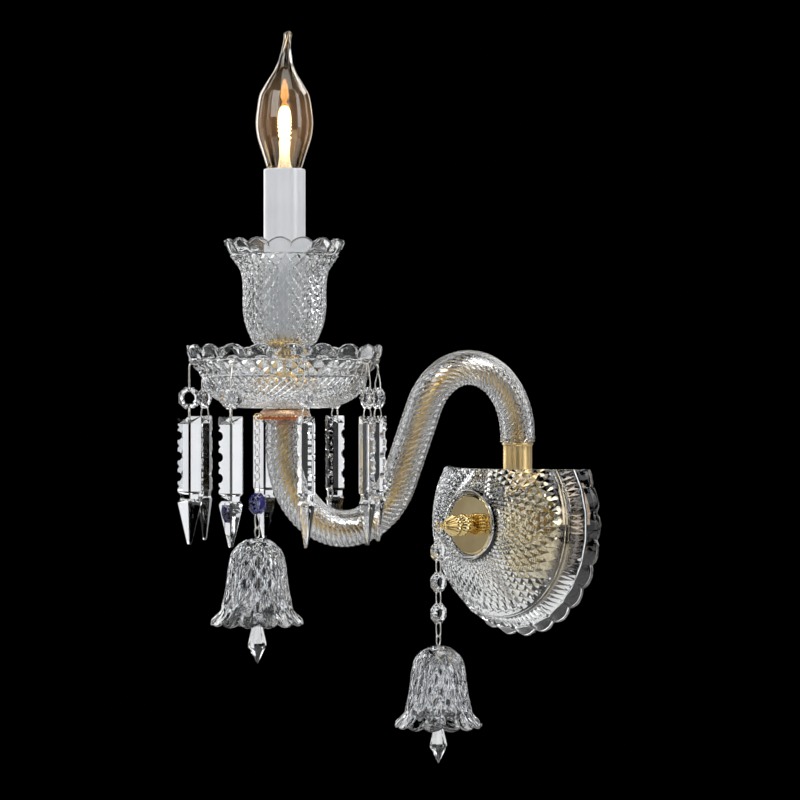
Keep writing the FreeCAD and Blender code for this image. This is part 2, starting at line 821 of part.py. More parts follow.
def candle_cup():
    points = whole("cup_scallops")
    wall = size("cup_wall")
    body = size("cup_body_radius")
    foot = size("cup_foot_radius")
    foot_height = size("cup_foot_height")
    neck = size("cup_neck_height")
    collar = size("cup_collar_radius")
    collar_height = size("cup_collar_height")
    rim = size("cup_radius")
    tall = size("cup_height")
    floor = size("cup_floor")
    hole = core_hole()
    cut = size("cut_depth")
    notch = size("cup_scallop_depth")
    seat = size("seat_radius") + size("sleeve_clearance")
    cup = faceted_solid(lathe([
        (points, hole, 0),
        (points, foot, 0),
        (points, foot, foot_height),
        (2 * points, body * 0.77, foot_height * 2.3),
        (2 * points, body * 0.95, foot_height * 4.9, cut),
        (2 * points, body, neck * 0.54, cut),
        (2 * points, body, neck * 0.77, cut),
        (2 * points, body + cut, neck, cut),
        (2 * points, (body + collar) / 2 + cut, (neck + collar_height) / 2 + cut, cut),
        (2 * points, collar, collar_height),
        ring(4 * points, rim, tall, points, cut / 2, notch),
        ring(4 * points, rim - wall * 0.75, tall, points, cut / 2, notch),
        (2 * points, collar - wall, collar_height + cut),
        (2 * points, body - wall, neck),
        (2 * points, body * 0.95 - wall, foot_height * 5.4),
        (points, seat, floor),
        (points, hole, floor)]), True)
    return feature("candle_cup", cup, candle_axis(size("cup_base")))


def cup_nut():
    """The seat that clamps the cup and centres the candle sleeve."""
    sides = 16
    corner = math.cos(math.pi / sides)
    radius = size("seat_radius")
    tall = size("seat_height")
    spigot = size("sleeve_radius") - size("sleeve_wall") - size("sleeve_clearance")
    top = tall + size("seat_spigot")
    hole = core_hole()
    seat = faceted_solid(lathe([
        (sides, hole, 0), (sides, radius * corner, 0), (sides, radius, tall),
        (sides, spigot, tall), (sides, spigot, top), (sides, hole, top)]), True)
    return feature("cup_nut", seat, candle_axis(size("seat_base")))


def candle_sleeve():
    sides = 24
    radius = size("sleeve_radius")
    inner = (radius - size("sleeve_wall")) / math.cos(math.pi / sides)
    tall = size("sleeve_length")
    tube = faceted_solid(lathe([(sides, inner, 0), (sides, radius, 0), (sides, radius, tall),
                                (sides, inner, tall)]), True)
    return feature("candle_sleeve", tube, candle_axis(size("sleeve_base")))


def lampholder():
    sides = 12
    radius = size("holder_radius")
    bore = size("holder_bore_radius") / math.cos(math.pi / sides)
    stem = size("stem_radius")
    cable = size("core_radius") - size("core_wall")
    hole = core_hole()
    low = size("cup_base") + size("cup_floor") + size("seat_height") + size("seat_spigot")
    grip = size("core_top")
    base = size("holder_base")
    top = size("holder_top")
    holder = faceted_solid(lathe([
        (sides, hole, low), (sides, stem, low), (sides, stem, base), (sides, radius, base),
        (sides, radius, top), (sides, bore, top), (sides, bore, base + size("holder_floor")),
        (sides, cable, base + size("holder_floor")), (sides, cable, grip),
        (sides, hole, grip)]), True)
    return feature("lampholder", holder, candle_axis(0))


def lamp_contacts():
    """The centre contact under the bulb and the side contact beside its thread."""
    wide = size("contact_width")
    thick = size("contact_thickness")
    floor = size("holder_base") + size("holder_floor")
    under = Part.makeBox(2 * wide, wide, thick, Vector(-wide, -wide / 2, floor))
    rise = size("bulb_base") - size("bulb_cap_length") - floor
    post = Part.makeBox(wide / 2, wide, rise - thick, Vector(wide / 2, -wide / 2, floor))
    tongue = Part.makeBox(1.25 * wide, wide, thick, Vector(-wide / 4, -wide / 2,
                                                           floor + rise - 2 * thick))
    spring = under.fuse([post, tongue]).removeSplitter()
    return feature("lamp_contacts", spring, candle_axis(0))


def bulb_glass():
    sides = 16
    wide = size("bulb_radius")
    neck = size("bulb_neck_radius")
    tall = size("bulb_length")
    tip = size("bulb_tip_radius")
    wall = size("bulb_wall")
    outline = ((neck, 0), ((neck + wide) / 2, 0.14), (wide, 0.32), (wide * 0.88, 0.54),
               (wide * 0.58, 0.66), (wide * 0.27, 0.77), (tip * 1.05, 0.88), (tip, 0.96),
               (tip * 0.45, 1.0))
    outer = [(sides, radius, tall * share) for radius, share in outline]
    inner = [(sides, radius - wall, tall * share) for radius, share in outline[:6:2] + outline[5:6]]
    inner = [(sides, wall, tall * 0.86)] + list(reversed(inner))
    return feature("bulb_glass", faceted_solid(lathe(inner + outer), False),
                   candle_axis(size("bulb_base")))


def bulb_cap():
    sides = 16
    radius = size("bulb_cap_radius")
    tall = size("bulb_cap_length")
    tip = size("bulb_cap_tip_radius")
    rows = [(sides, tip, -tall), (sides, tip * 1.2, -tall * 0.92), (sides, radius, -tall * 0.82),
            (sides, radius, -size("bulb_wall")), (sides, size("bulb_neck_radius") - 2, 0)]
    return feature("bulb_cap", faceted_solid(lathe(rows), False), candle_axis(size("bulb_base")))


def bulb_filament():
    """A hairpin of wire that stands on the cap."""
    tall = size("bulb_length")
    half = size("bulb_neck_radius") / 3
    points = [Vector(-half / 2, 0, 0), Vector(-half, 0, tall * 0.3), Vector(0, 0, tall * 0.55),
              Vector(half, 0, tall * 0.3), Vector(half / 2, 0, 0)]
    return feature("bulb_filament", wire_solid(points, False), candle_axis(size("bulb_base")))


# ----------------------------------------------------------------- hung pieces
def upright_link(top, length, top_width, bottom_width):
    """A closed wire in the XZ plane that joins two holes, one above the other."""
    return wire_solid([top + Vector(-top_width / 2, 0, 0), top + Vector(top_width / 2, 0, 0),
                       top + Vector(bottom_width / 2, 0, -length),
                       top + Vector(-bottom_width / 2, 0, -length)], True)


def bead_grip():
    """Width of a wire loop round a bead at its holes."""
    table = size("bead_table_radius")
    share = (size("bead_hole_reach") - table) / (size("bead_radius") - table)
    thickness = size("bead_thickness") * (1 - 0.68 * share)
    return thickness + 2 * size("wire_radius") + 2 * size("wire_play")


def bead(middle):
    """An octagon bead whose faces look along X, with a hole above and one below."""
    half = size("bead_thickness") / 2
    girdle = half * 0.32
    table = size("bead_table_radius")
    wide = size("bead_radius")
    rings = [ring(8, table, -half, turn=0.5), ring(8, wide, -girdle, turn=0.5),
             ring(8, wide, girdle, turn=0.5), ring(8, table, half, turn=0.5)]
    solid = faceted_solid(rings, False)
    solid.Placement = FreeCAD.Placement(middle, FreeCAD.Rotation(Vector(0, 1, 0), 90))
    reach = size("bead_hole_reach")
    holes = [drill(size("hole_radius"), 4 * half, middle + Vector(0, 0, side * reach),
                   Vector(1, 0, 0)) for side in (-1, 1)]
    return solid.cut(holes)


def prism(hole):
    """A spear prism that hangs from hole: notched bar, waist and spear tip."""
    wide = size("prism_width") / 2
    thick = size("prism_thickness") / 2
    top = hole.z + size("prism_hole_drop")
    shoulder = 2.4 * size("prism_hole_drop")
    notches = whole("prism_notches")
    bar = size("prism_bar_length")
    rows = [(0, wide * 0.5, thick * 0.55), (size("prism_hole_drop"), wide * 0.78, thick * 0.66),
            (shoulder, wide, thick)]
    for number in range(notches):
        start = shoulder + bar * number / notches
        rows.append((start + bar / notches / 2, wide - size("prism_notch_depth"), thick * 0.9))
        rows.append((start + bar / notches, wide, thick))
    low = shoulder + bar
    waist = low + size("prism_waist") / 2
    spear = size("prism_length") - size("prism_tip_length")
    rows.append((waist, wide * 0.5, thick * 0.7))
    rows.append((spear, wide * 0.8, thick))
    rows.append((size("prism_length"), size("prism_point"), size("prism_point") * 0.75))
    rings = []
    for drop, across, deep in reversed(rows):
        level = top - drop
        face = across * 0.55
        corners = [(deep, -face), (deep, face), (0, across), (-deep, face), (-deep, -face),
                   (0, -across)]
        rings.append([Vector(hole.x + x, hole.y + y, level) for x, y in corners])
    solid = faceted_solid(rings, False)
    return solid.cut(drill(size("hole_radius"), 4 * thick, hole, Vector(1, 0, 0)))


def hung_round_tray(label, shape, angle, turn):
    """Place a piece made at the candle axis, moved out to its hook and turned there."""
    heading = math.radians(angle)
    reach = hook_reach()
    spot = candle_axis(0) + Vector(reach * math.cos(heading), reach * math.sin(heading), 0)
    item = doc.addObject("Part::Feature", label)
    item.Shape = shape
    item.Placement = FreeCAD.Placement(spot, FreeCAD.Rotation(turn, 0, 0))
    return item


def hook_reach():
    """How far from the candle axis the pendants hang."""
    return size("tray_band_radius") + 0.6


def pendant(number, angle, twist):
    """One pendant: hook and lower link, bead, prism. twist turns it on its hook."""
    name = f"pendant_{number}"
    eye = size("hook_height")
    drop = eye - size("hook_drop")
    grip = bead_grip()
    thin = size("prism_thickness") * 0.66 + 2 * size("wire_radius") + 2 * size("wire_play")
    wall = size("tray_wall") * 0.9
    inside = hook_wall_middle() - hook_reach() - 1.4 * wall
    lean = math.radians(-twist)
    back = Vector(math.cos(lean), math.sin(lean), 0)

    def seen_from_bead(spot):
        across = spot.x * back.x
        return Vector(across, spot.x * back.y, spot.z)

    radial = [seen_from_bead(Vector(inside, 0, eye - wall / 2)),
              seen_from_bead(Vector(inside, 0, eye)), Vector(0, 0, eye),
              Vector(0, 0, drop + grip)]
    clasp = [Vector(grip / 2, 0, drop + grip / 2), Vector(grip / 2, 0, drop),
             Vector(-grip / 2, 0, drop), Vector(-grip / 2, 0, drop + grip / 2)]
    hook = wire_solid(radial + clasp, False)
    low_hole = Vector(0, 0, size("bead_height") - size("bead_hole_reach"))
    link = upright_link(low_hole, size("link_length"), grip, thin)
    turn = angle + twist
    return [hung_round_tray(name + "_hook", Part.makeCompound([hook, link]), angle, turn),
            hung_round_tray(name + "_bead", bead(Vector(0, 0, size("bead_height"))), angle, turn),
            hung_round_tray(name + "_prism", prism(Vector(0, 0, size("pin_height"))), angle, turn)]


def chain_step():
    """From the bottom of one link up to the top of the next."""
    return 2 * size("wire_radius") + size("wire_play")


def eye_bottom(spot):
    """Where a link's top wire lies in an eye."""
    return spot - Vector(0, 0, size("eye_radius") * math.cos(math.pi / 8) - chain_step())


def bell_glass():
    points = whole("bell_scallops")
    wall = size("bell_wall")
    tall = size("bell_height")
    crown = size("bell_crown_radius")
    shoulder = size("bell_shoulder_radius")
    waist = size("bell_waist_radius")
    band = size("bell_band_radius")
    band_depth = size("bell_band_depth")
    rim = size("bell_radius")
    cut = size("cut_depth")
    notch = size("bell_scallop_depth")
    hole = size("hole_radius") + size("wire_play")
    bell = faceted_solid(lathe([
        (points, hole, 0),
        (points, hole, -wall),
        (points, crown + wall / 2, -wall * 1.6),
        (2 * points, shoulder - wall, -tall * 0.19),
        (2 * points, band - wall, -band_depth),
        ring(2 * points, rim - wall * 0.7, -tall, points, cut, -notch),
        ring(2 * points, rim, -tall, points, cut, -notch),
        (2 * points, band, -band_depth),
        (2 * points, waist, -tall * 0.54, cut),
        (2 * points, (shoulder + waist) / 2, -tall * 0.3, cut),
        (2 * points, shoulder, -tall * 0.17, cut),
        (2 * points, (crown + shoulder) / 2 + 2 * cut, -tall * 0.073, cut),
        (points, crown, 0)]), True)
    return bell


def bell_wire(top, hook_top):
    """Loop above the bell, a rod with a stop under its crown, loop for the clapper."""
    length = size("ring_length")
    width = size("chain_link_width")
    stop_height = size("wire_radius") * 2
    loop_middle = hook_top - Vector(0, 0, length / 2)
    above = loop(length, width, loop_middle, 90)
    clapper_top = size("bell_height") + size("clapper_below_rim") - size("clapper_length")
    hang = top - Vector(0, 0, clapper_top + size("prism_hole_drop"))
    clasp = 2 * clapper_neck() + 2 * size("wire_radius") + 2 * size("wire_play")
    below = upright_link(hang + Vector(0, 0, length), length, clasp, clasp)
    rod = wire_solid([loop_middle - Vector(0, 0, length / 2), hang + Vector(0, 0, length)], False)
    stop_radius = 2.5 * size("hole_radius")
    stop_top = size("bell_wall") + size("wire_radius")
    stop = faceted_solid(lathe([(6, stop_radius, -stop_top - stop_height),
                                (6, stop_radius, -stop_top)]), False)
    stop.translate(top)
    return above.fuse([rod, stop, below])


def clapper_neck():
    """Radius of the clapper's top, where its hole is."""
    return 2.6 * size("hole_radius")


def clapper(top):
    """A six-sided drop; its hole looks along X, like the loop that carries it."""
    wide = size("clapper_radius")
    tall = size("clapper_length")
    slim = clapper_neck()
    drop = faceted_solid(lathe([(6, wide * 0.08, -tall), (6, wide, -tall * 0.7),
                                (6, wide * 0.55, -tall * 0.38), (6, slim, -tall * 0.14),
                                (6, slim, 0)]), False)
    drop.translate(top)
    hole = top - Vector(0, 0, size("prism_hole_drop"))
    return drop.cut(drill(size("hole_radius"), 4 * slim, hole, Vector(1, 0, 0)))


def hung_bell(name, last_hole):
    """A bell under a bead: the link from the bead, the bell, its wire and its clapper."""
    grip = bead_grip()
    link_length = size("bead_link_length")
    link = upright_link(last_hole, link_length, grip, grip)
    hook_top = last_hole - Vector(0, 0, link_length - chain_step())
    top = hook_top - Vector(0, 0, size("ring_length") + size("wire_radius"))
    clapper_top = top - Vector(0, 0, size("bell_height") + size("clapper_below_rim")
                               - size("clapper_length"))
    return [feature(name + "_bell", bell_glass(), top),
            feature(name + "_bell_wire", Part.makeCompound([link, bell_wire(top, hook_top)])),
            feature(name + "_clapper", clapper(clapper_top))]


def front_hanging():
    """Chain, bead and bell under the eye of the cap."""
    links = []
    spot = eye_bottom(cap_eye_spot())
    length = size("chain_link_length")
    for number in range(whole("chain_links")):
        middle = spot - Vector(0, 0, length / 2)
        links.append(loop(length, size("chain_link_width"), middle, 0 if number % 2 == 0 else 90))
        spot = spot - Vector(0, 0, length - chain_step())
    grip = bead_grip()
    links.append(upright_link(spot, size("bead_link_length"), grip, grip))
    middle = spot - Vector(0, 0, size("bead_link_length") + size("bead_hole_reach"))
    low_hole = middle - Vector(0, 0, size("bead_hole_reach"))
    return [feature("front_chain", Part.makeCompound(links)),
            feature("front_chain_bead", bead(middle))] + hung_bell("front", low_hole)


def rear_hanging():
    """Three ring-and-bead links and a bell under the eye of the finial."""
    pieces = []
    spot = eye_bottom(knob_eye_spot())
    grip = bead_grip()
    for number in range(whole("rear_links")):
        ring_wire = upright_link(spot, size("bead_link_length"), grip, grip)
        middle = spot - Vector(0, 0, size("bead_link_length") + size("bead_hole_reach"))
        pieces.append(feature(f"rear_link_{number + 1}", ring_wire))
        pieces.append(feature(f"rear_bead_{number + 1}", bead(middle)))
        spot = middle - Vector(0, 0, size("bead_hole_reach"))
    return pieces + hung_bell("rear", spot)


# ------------------------------------------------------------------- the model
# How far each pendant has turned on its hook, in degrees, as it hangs.
PENDANT_TWISTS = (30, -15, 73, -15, 30, 75, -60, -15)

pieces = [wall_bracket(), back_pan(), centre_rod(), half_bowl(), rosette_disc(), finial_knob(),
          fasteners(), arm_post(), arm_glass(), arm_core(), arm_cap(), candle_tray(),
          cup_spacer(), candle_cup(), cup_nut(), candle_sleeve(), lampholder(),
          lamp_contacts(), bulb_glass(), bulb_cap(), bulb_filament()]
for number, angle in enumerate(hook_angles(), start=1):
    twist = PENDANT_TWISTS[(number - 1) % len(PENDANT_TWISTS)]
    pieces += pendant(number, angle, twist)
pieces += front_hanging() + rear_hanging()

doc.recompute()
for item in doc.Objects:
    if "Invalid" in item.State or "Error" in item.State:
        raise RuntimeError(f"{item.Label} is {item.State}")
os.makedirs("parts", exist_ok=True)
for item in pieces:
    shape = item.Shape
    if shape.isNull() or not shape.isValid():
        raise RuntimeError(f"{item.Label} has no valid shape")
    shape.exportStep(f"parts/{item.Label}.step")
print(f"{len(pieces)} pieces written")
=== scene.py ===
"""Looks for a crystal wall sconce: cut glass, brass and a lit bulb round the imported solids."""
import json
import math
import bmesh
import bpy
import numpy as np
from mathutils import Matrix, Vector

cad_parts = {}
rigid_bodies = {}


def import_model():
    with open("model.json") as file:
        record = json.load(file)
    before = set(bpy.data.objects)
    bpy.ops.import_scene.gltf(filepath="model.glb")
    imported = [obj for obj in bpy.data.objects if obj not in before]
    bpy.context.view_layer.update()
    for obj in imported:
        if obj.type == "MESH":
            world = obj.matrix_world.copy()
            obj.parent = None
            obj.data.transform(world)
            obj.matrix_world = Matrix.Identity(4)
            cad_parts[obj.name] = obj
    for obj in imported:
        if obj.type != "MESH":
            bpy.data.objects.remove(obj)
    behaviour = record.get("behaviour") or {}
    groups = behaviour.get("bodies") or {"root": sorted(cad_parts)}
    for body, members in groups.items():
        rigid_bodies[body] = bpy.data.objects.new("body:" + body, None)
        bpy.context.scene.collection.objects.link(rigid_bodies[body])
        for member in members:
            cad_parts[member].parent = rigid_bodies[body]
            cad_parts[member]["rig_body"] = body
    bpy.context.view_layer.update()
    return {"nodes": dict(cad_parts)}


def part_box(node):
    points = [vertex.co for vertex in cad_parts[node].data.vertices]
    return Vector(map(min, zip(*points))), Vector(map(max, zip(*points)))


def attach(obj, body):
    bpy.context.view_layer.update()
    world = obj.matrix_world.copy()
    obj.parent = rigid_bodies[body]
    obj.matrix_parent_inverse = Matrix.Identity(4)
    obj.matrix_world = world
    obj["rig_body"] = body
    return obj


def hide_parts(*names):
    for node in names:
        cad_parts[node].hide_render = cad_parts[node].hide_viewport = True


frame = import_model()

MM = 0.001
TAU = 2 * math.pi
MATERIALS = {}
FLAME = (0.0, -0.216, 0.2505)  # middle of the lit filament, in metres
# Lengths from here on are in millimetres.
ROD_HOLE, NIPPLE_HOLE, WIRE_HOLE = 3.4, 4.1, 0.85  # radii
BEAD_HOLE = 5.0  # from the middle of a bead to each of its holes
PIN_HOLE = 3.0  # from the top of a prism or drop to its hole
LINK = 10.0  # length of the wire between two beads
GRIP = 4.24  # width of a wire that holds a bead


# ------------------------------------------------------------------ materials
class Finish:
    """A Principled material whose colour, roughness and bump come from noise."""

    def __init__(self, name):
        self.made = bpy.data.materials.new(name)
        self.made.use_nodes = True
        self.nodes = self.made.node_tree.nodes
        self.links = self.made.node_tree.links
        self.shader = self.nodes["Principled BSDF"]
        self.place = self.nodes.new("ShaderNodeTexCoord").outputs["Object"]
        MATERIALS[name] = self.made

    def noise(self, scale, detail=3.0, stretch=(1, 1, 1)):
        spread = self.nodes.new("ShaderNodeMapping")
        spread.inputs["Scale"].default_value = stretch
        self.links.new(self.place, spread.inputs["Vector"])
        noise = self.nodes.new("ShaderNodeTexNoise")
        noise.inputs["Scale"].default_value = scale
        noise.inputs["Detail"].default_value = detail
        self.links.new(spread.outputs["Vector"], noise.inputs["Vector"])
        return noise.outputs["Fac"]

    def colour(self, source, dark, light, socket="Base Color"):
        ramp = self.nodes.new("ShaderNodeValToRGB")
        stops = ramp.color_ramp.elements
        stops[0].position, stops[0].color = 0.35, (*dark, 1)
        stops[1].position, stops[1].color = 0.65, (*light, 1)
        self.links.new(source, ramp.inputs["Fac"])
        self.links.new(ramp.outputs["Color"], self.shader.inputs[socket])

    def mapped(self, source, near, far, low=0.0, high=1.0, curve="LINEAR"):
        """Values from near to far spread over low to high."""
        spread = self.nodes.new("ShaderNodeMapRange")
        spread.interpolation_type = curve
        for name, value in (("From Min", near), ("From Max", far), ("To Min", low),
                            ("To Max", high)):
            spread.inputs[name].default_value = value
        self.links.new(source, spread.inputs["Value"])
        return spread.outputs["Result"]

    def roughness(self, source, smooth, rough):
        self.links.new(self.mapped(source, 0.3, 0.7, smooth, rough),
                       self.shader.inputs["Roughness"])

    def bump(self, source, strength, depth):
        bump = self.nodes.new("ShaderNodeBump")
        bump.inputs["Strength"].default_value = strength
        bump.inputs["Distance"].default_value = depth
        self.links.new(source, bump.inputs["Height"])
        self.links.new(bump.outputs["Normal"], self.shader.inputs["Normal"])

    def painted_glow(self, spot, near, far, tint, strength):
        """Painted glow: emission that fades out from near to far of a spot, standing in for the
        lamp's light caught in the piece.
        """
        away = self.nodes.new("ShaderNodeVectorMath")
        away.operation = "DISTANCE"
        away.inputs[1].default_value = spot
        self.links.new(self.place, away.inputs[0])
        fade = self.mapped(away.outputs["Value"], near, far, strength, 0.0, "SMOOTHSTEP")
        self.links.new(fade, self.shader.inputs["Emission Strength"])
        self.shader.inputs["Emission Color"].default_value = (*tint, 1)

    def painted_shade_outside(self, near, far, shade):
        """Painted shade: the colour turns to a dark shade beyond a distance from the piece's own Y
        axis.
        """
        flat = self.nodes.new("ShaderNodeVectorMath")
        flat.operation = "MULTIPLY"
        flat.inputs[1].default_value = (1, 0, 1)
        self.links.new(self.place, flat.inputs[0])
        away = self.nodes.new("ShaderNodeVectorMath")
        away.operation = "LENGTH"
        self.links.new(flat.outputs["Vector"], away.inputs[0])
        mix = self.nodes.new("ShaderNodeMix")
        mix.data_type = "RGBA"
        colour = self.shader.inputs["Base Color"].links[0].from_socket
        self.links.new(self.mapped(away.outputs["Value"], near, far), mix.inputs["Factor"])
        self.links.new(colour, mix.inputs["A"])
        mix.inputs["B"].default_value = (*shade, 1)
        self.links.new(mix.outputs["Result"], self.shader.inputs["Base Color"])

    def set(self, **values):
        for name, value in values.items():
            self.shader.inputs[name.replace("_", " ")].default_value = value


def glass(name, dark, light, index, rough, wave=0.02):
    made = Finish(name)
    made.set(Transmission_Weight=1.0, IOR=index)
    made.colour(made.noise(60.0, 2.0), dark, light)
    made.roughness(made.noise(140.0, 3.0), 0.0, rough)
    made.bump(made.noise(220.0, 2.0), wave, 0.0004)
    return made


def metal(name, dark, light, smooth, rough, scale, bump, stretch=(1, 1, 1)):
    made = Finish(name)
    made.set(Metallic=1.0)
    made.colour(made.noise(scale, 4.0), dark, light)
    made.roughness(made.noise(scale * 3, 4.0, stretch), smooth, rough)
    made.bump(made.noise(scale * 12, 3.0, stretch), bump, 0.0002)
    return made


glass("cut_glass", (0.955, 0.968, 0.975), (0.995, 0.998, 1.0), 1.53, 0.01, 0.01)
glass("rope_glass", (0.82, 0.83, 0.84), (0.92, 0.93, 0.94), 1.52, 0.006, 0.008)
glass("bell_glass", (0.78, 0.79, 0.81), (0.88, 0.89, 0.90), 1.53, 0.006, 0.008)
glass("bead_glass", (0.94, 0.95, 0.97), (0.985, 0.99, 1.0), 1.58, 0.01)
glass("violet_glass", (0.015, 0.015, 0.10), (0.05, 0.05, 0.22), 1.58, 0.01)
amber = glass("bulb_glass", (0.93, 0.76, 0.54), (0.98, 0.88, 0.72), 1.45, 0.01, 0.01)
# painted glow: the bulb glass shines amber round the filament, standing in for the light scattered
# in it
amber.painted_glow(FLAME, 0.003, 0.030, (1.0, 0.60, 0.34), 0.075)
stem_glass = glass("lit_stem", (0.90, 0.86, 0.78), (0.97, 0.94, 0.88), 1.45, 0.35)
# painted glow: the glass stem shines bright round the filament, standing in for the light it
# catches
stem_glass.painted_glow(FLAME, 0.008, 0.040, (1.0, 0.88, 0.70), 1.3)
metal("gold", (0.74, 0.48, 0.15), (0.97, 0.72, 0.32), 0.10, 0.22, 45.0, 0.06)
# painted highlight: a lighter copy of gold, standing in for the bright reflections on the post; its
# greater roughness is real
metal("gold_painted_highlight", (0.82, 0.58, 0.26), (0.97, 0.78, 0.46), 0.30, 0.40, 30.0, 0.03)
# painted shade: a darker copy of gold, standing in for the dark that the finial reflects
metal("gold_painted_shade", (0.52, 0.37, 0.14), (0.88, 0.68, 0.33), 0.05, 0.13, 60.0, 0.05)
metal("gold_mirror", (0.60, 0.47, 0.24), (0.82, 0.68, 0.40), 0.015, 0.05, 30.0, 0.02)
metal("copper_gold", (0.80, 0.44, 0.26), (0.96, 0.66, 0.44), 0.16, 0.28, 60.0, 0.04)
metal("red_gold", (0.40, 0.08, 0.02), (0.74, 0.24, 0.07), 0.10, 0.20, 90.0, 0.04)
pan = metal("pale_gold", (0.80, 0.66, 0.38), (0.96, 0.86, 0.60), 0.05, 0.12, 40.0, 0.03)
# painted shade: the back pan goes dark beyond its flat middle, so the glass flare in front of it
# looks dark
pan.painted_shade_outside(0.042, 0.046, (0.09, 0.07, 0.05))
metal("gold_wire", (0.74, 0.71, 0.64), (0.94, 0.92, 0.87), 0.08, 0.18, 120.0, 0.03)
metal("steel", (0.42, 0.43, 0.45), (0.62, 0.63, 0.65), 0.28, 0.42, 90.0, 0.08, (1, 12, 12))
metal("nickel", (0.62, 0.60, 0.56), (0.80, 0.78, 0.74), 0.16, 0.28, 90.0, 0.05)
metal("contact_brass", (0.66, 0.48, 0.20), (0.82, 0.64, 0.32), 0.22, 0.36, 80.0, 0.05)

sleeve_white = Finish("white_sleeve")
sleeve_white.set(Coat_Weight=0.35, Coat_Roughness=0.12)
sleeve_white.colour(sleeve_white.noise(25.0, 3.0), (0.76, 0.77, 0.80), (0.83, 0.84, 0.86))
sleeve_white.roughness(sleeve_white.noise(90.0, 3.0, (1, 1, 0.15)), 0.26, 0.4)
sleeve_white.bump(sleeve_white.noise(300.0, 3.0, (1, 1, 0.1)), 0.05, 0.0002)

holder = Finish("holder_plastic")
holder.colour(holder.noise(50.0, 3.0), (0.60, 0.59, 0.56), (0.70, 0.69, 0.66))
holder.roughness(holder.noise(120.0, 4.0), 0.4, 0.55)
holder.bump(holder.noise(700.0, 3.0), 0.1, 0.0002)

lit_wire = Finish("filament")
lit_wire.set(Emission_Strength=14.0)
lit_wire.colour(lit_wire.noise(160.0, 2.0), (0.95, 0.42, 0.10), (1.0, 0.66, 0.30))
lit_wire.colour(lit_wire.noise(160.0, 2.0), (1.0, 0.50, 0.16), (1.0, 0.72, 0.38),
                socket="Emission Color")
lit_wire.roughness(lit_wire.noise(200.0, 2.0), 0.4, 0.6)


# ------------------------------------------------------------------- geometry
def smooth_line(points, fine=24):
    """A smooth curve through points, and the run along it."""
    spots = np.array(points, float)
    ends = np.vstack([2 * spots[0] - spots[1], spots, 2 * spots[-1] - spots[-2]])
    share = np.linspace(0, 1, fine, endpoint=False)[:, None]
    parts = []
    for n in range(1, len(ends) - 2):
        a, b, c, d = ends[n - 1:n + 3]
        parts.append(0.5 * (2 * b + (c - a) * share + (2 * a - 5 * b + 4 * c - d) * share ** 2
                            + (3 * b - a - 3 * c + d) * share ** 3))
    line = np.vstack(parts + [spots[-1:]])
    run = np.r_[0, np.cumsum(np.linalg.norm(np.diff(line, axis=0), axis=1))]
    return line, run


def picked(line, measure, values):
    return np.stack([np.interp(values, measure, line[:, k]) for k in range(line.shape[1])], 1)


def solid_mesh(name, rings, relief=None, cut=(), through=True, sharp=35.0):
    """A closed mesh through rings of points. Cells between two rows in cut are flat facets,
    split along the lower diagonal of their relief; through joins the last ring to the first."""
    rings = np.asarray(rings, float)
    rows, around = rings.shape[:2]
    cut = set(cut)
    faces, smooth, slack = [], [], 1e-6
    for i in range(rows if through else rows - 1):
        k = (i + 1) % rows
        flat = i in cut and k in cut
        for j in range(around):
            m = (j + 1) % around
            a, b = i * around + j, i * around + m
            c, d = k * around + m, k * around + j
            if flat:
                one = relief[i][j] + relief[k][m]
                other = relief[i][m] + relief[k][j]
                if one < other - slack:
                    faces += [(a, b, c), (a, c, d)]
                    smooth += [False, False]
                    continue
                if other < one - slack:
                    faces += [(a, b, d), (b, c, d)]
                    smooth += [False, False]
                    continue
            faces.append((a, b, c, d))
            smooth.append(not flat)
    if not through:
        faces += [tuple(reversed(range(around))), tuple(range((rows - 1) * around, rows * around))]
        smooth += [False, False]
    points = rings.reshape(-1, 3)
    first = points[[f[0] for f in faces]]
    turn = np.cross(points[[f[1] for f in faces]] - first, points[[f[2] for f in faces]] - first)
    far = np.cross(points[[f[2] for f in faces]] - first, points[[f[-1] for f in faces]] - first)
    if np.einsum("ij,ij", first - points.mean(0), turn + far) < 0:
        faces = [f[::-1] for f in faces]
    mesh = bpy.data.meshes.new(name)
    mesh.from_pydata((points * MM).tolist(), [], faces)
    mesh.polygons.foreach_set("use_smooth", smooth)
    mesh.set_sharp_from_angle(angle=math.radians(sharp))
    return mesh


def placed(name, data):
    item = bpy.data.objects.new(name, data)
    bpy.context.scene.collection.objects.link(item)
    return item


def shaded(mesh, smooth):
    mesh.polygons.foreach_set("use_smooth", [smooth] * len(mesh.polygons))
    return mesh


def dressed(name, data, node, slot, *stands_for, finish=None):
    """Put a new piece in the scene: it rides with node's body and takes slot's finish, or one
    of its own."""
    item = placed(name, data)
    data.materials.clear()
    data.materials.append(MATERIALS[finish or slot])
    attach(item, frame["nodes"][node]["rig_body"])
    if stands_for:
        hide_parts(*stands_for)


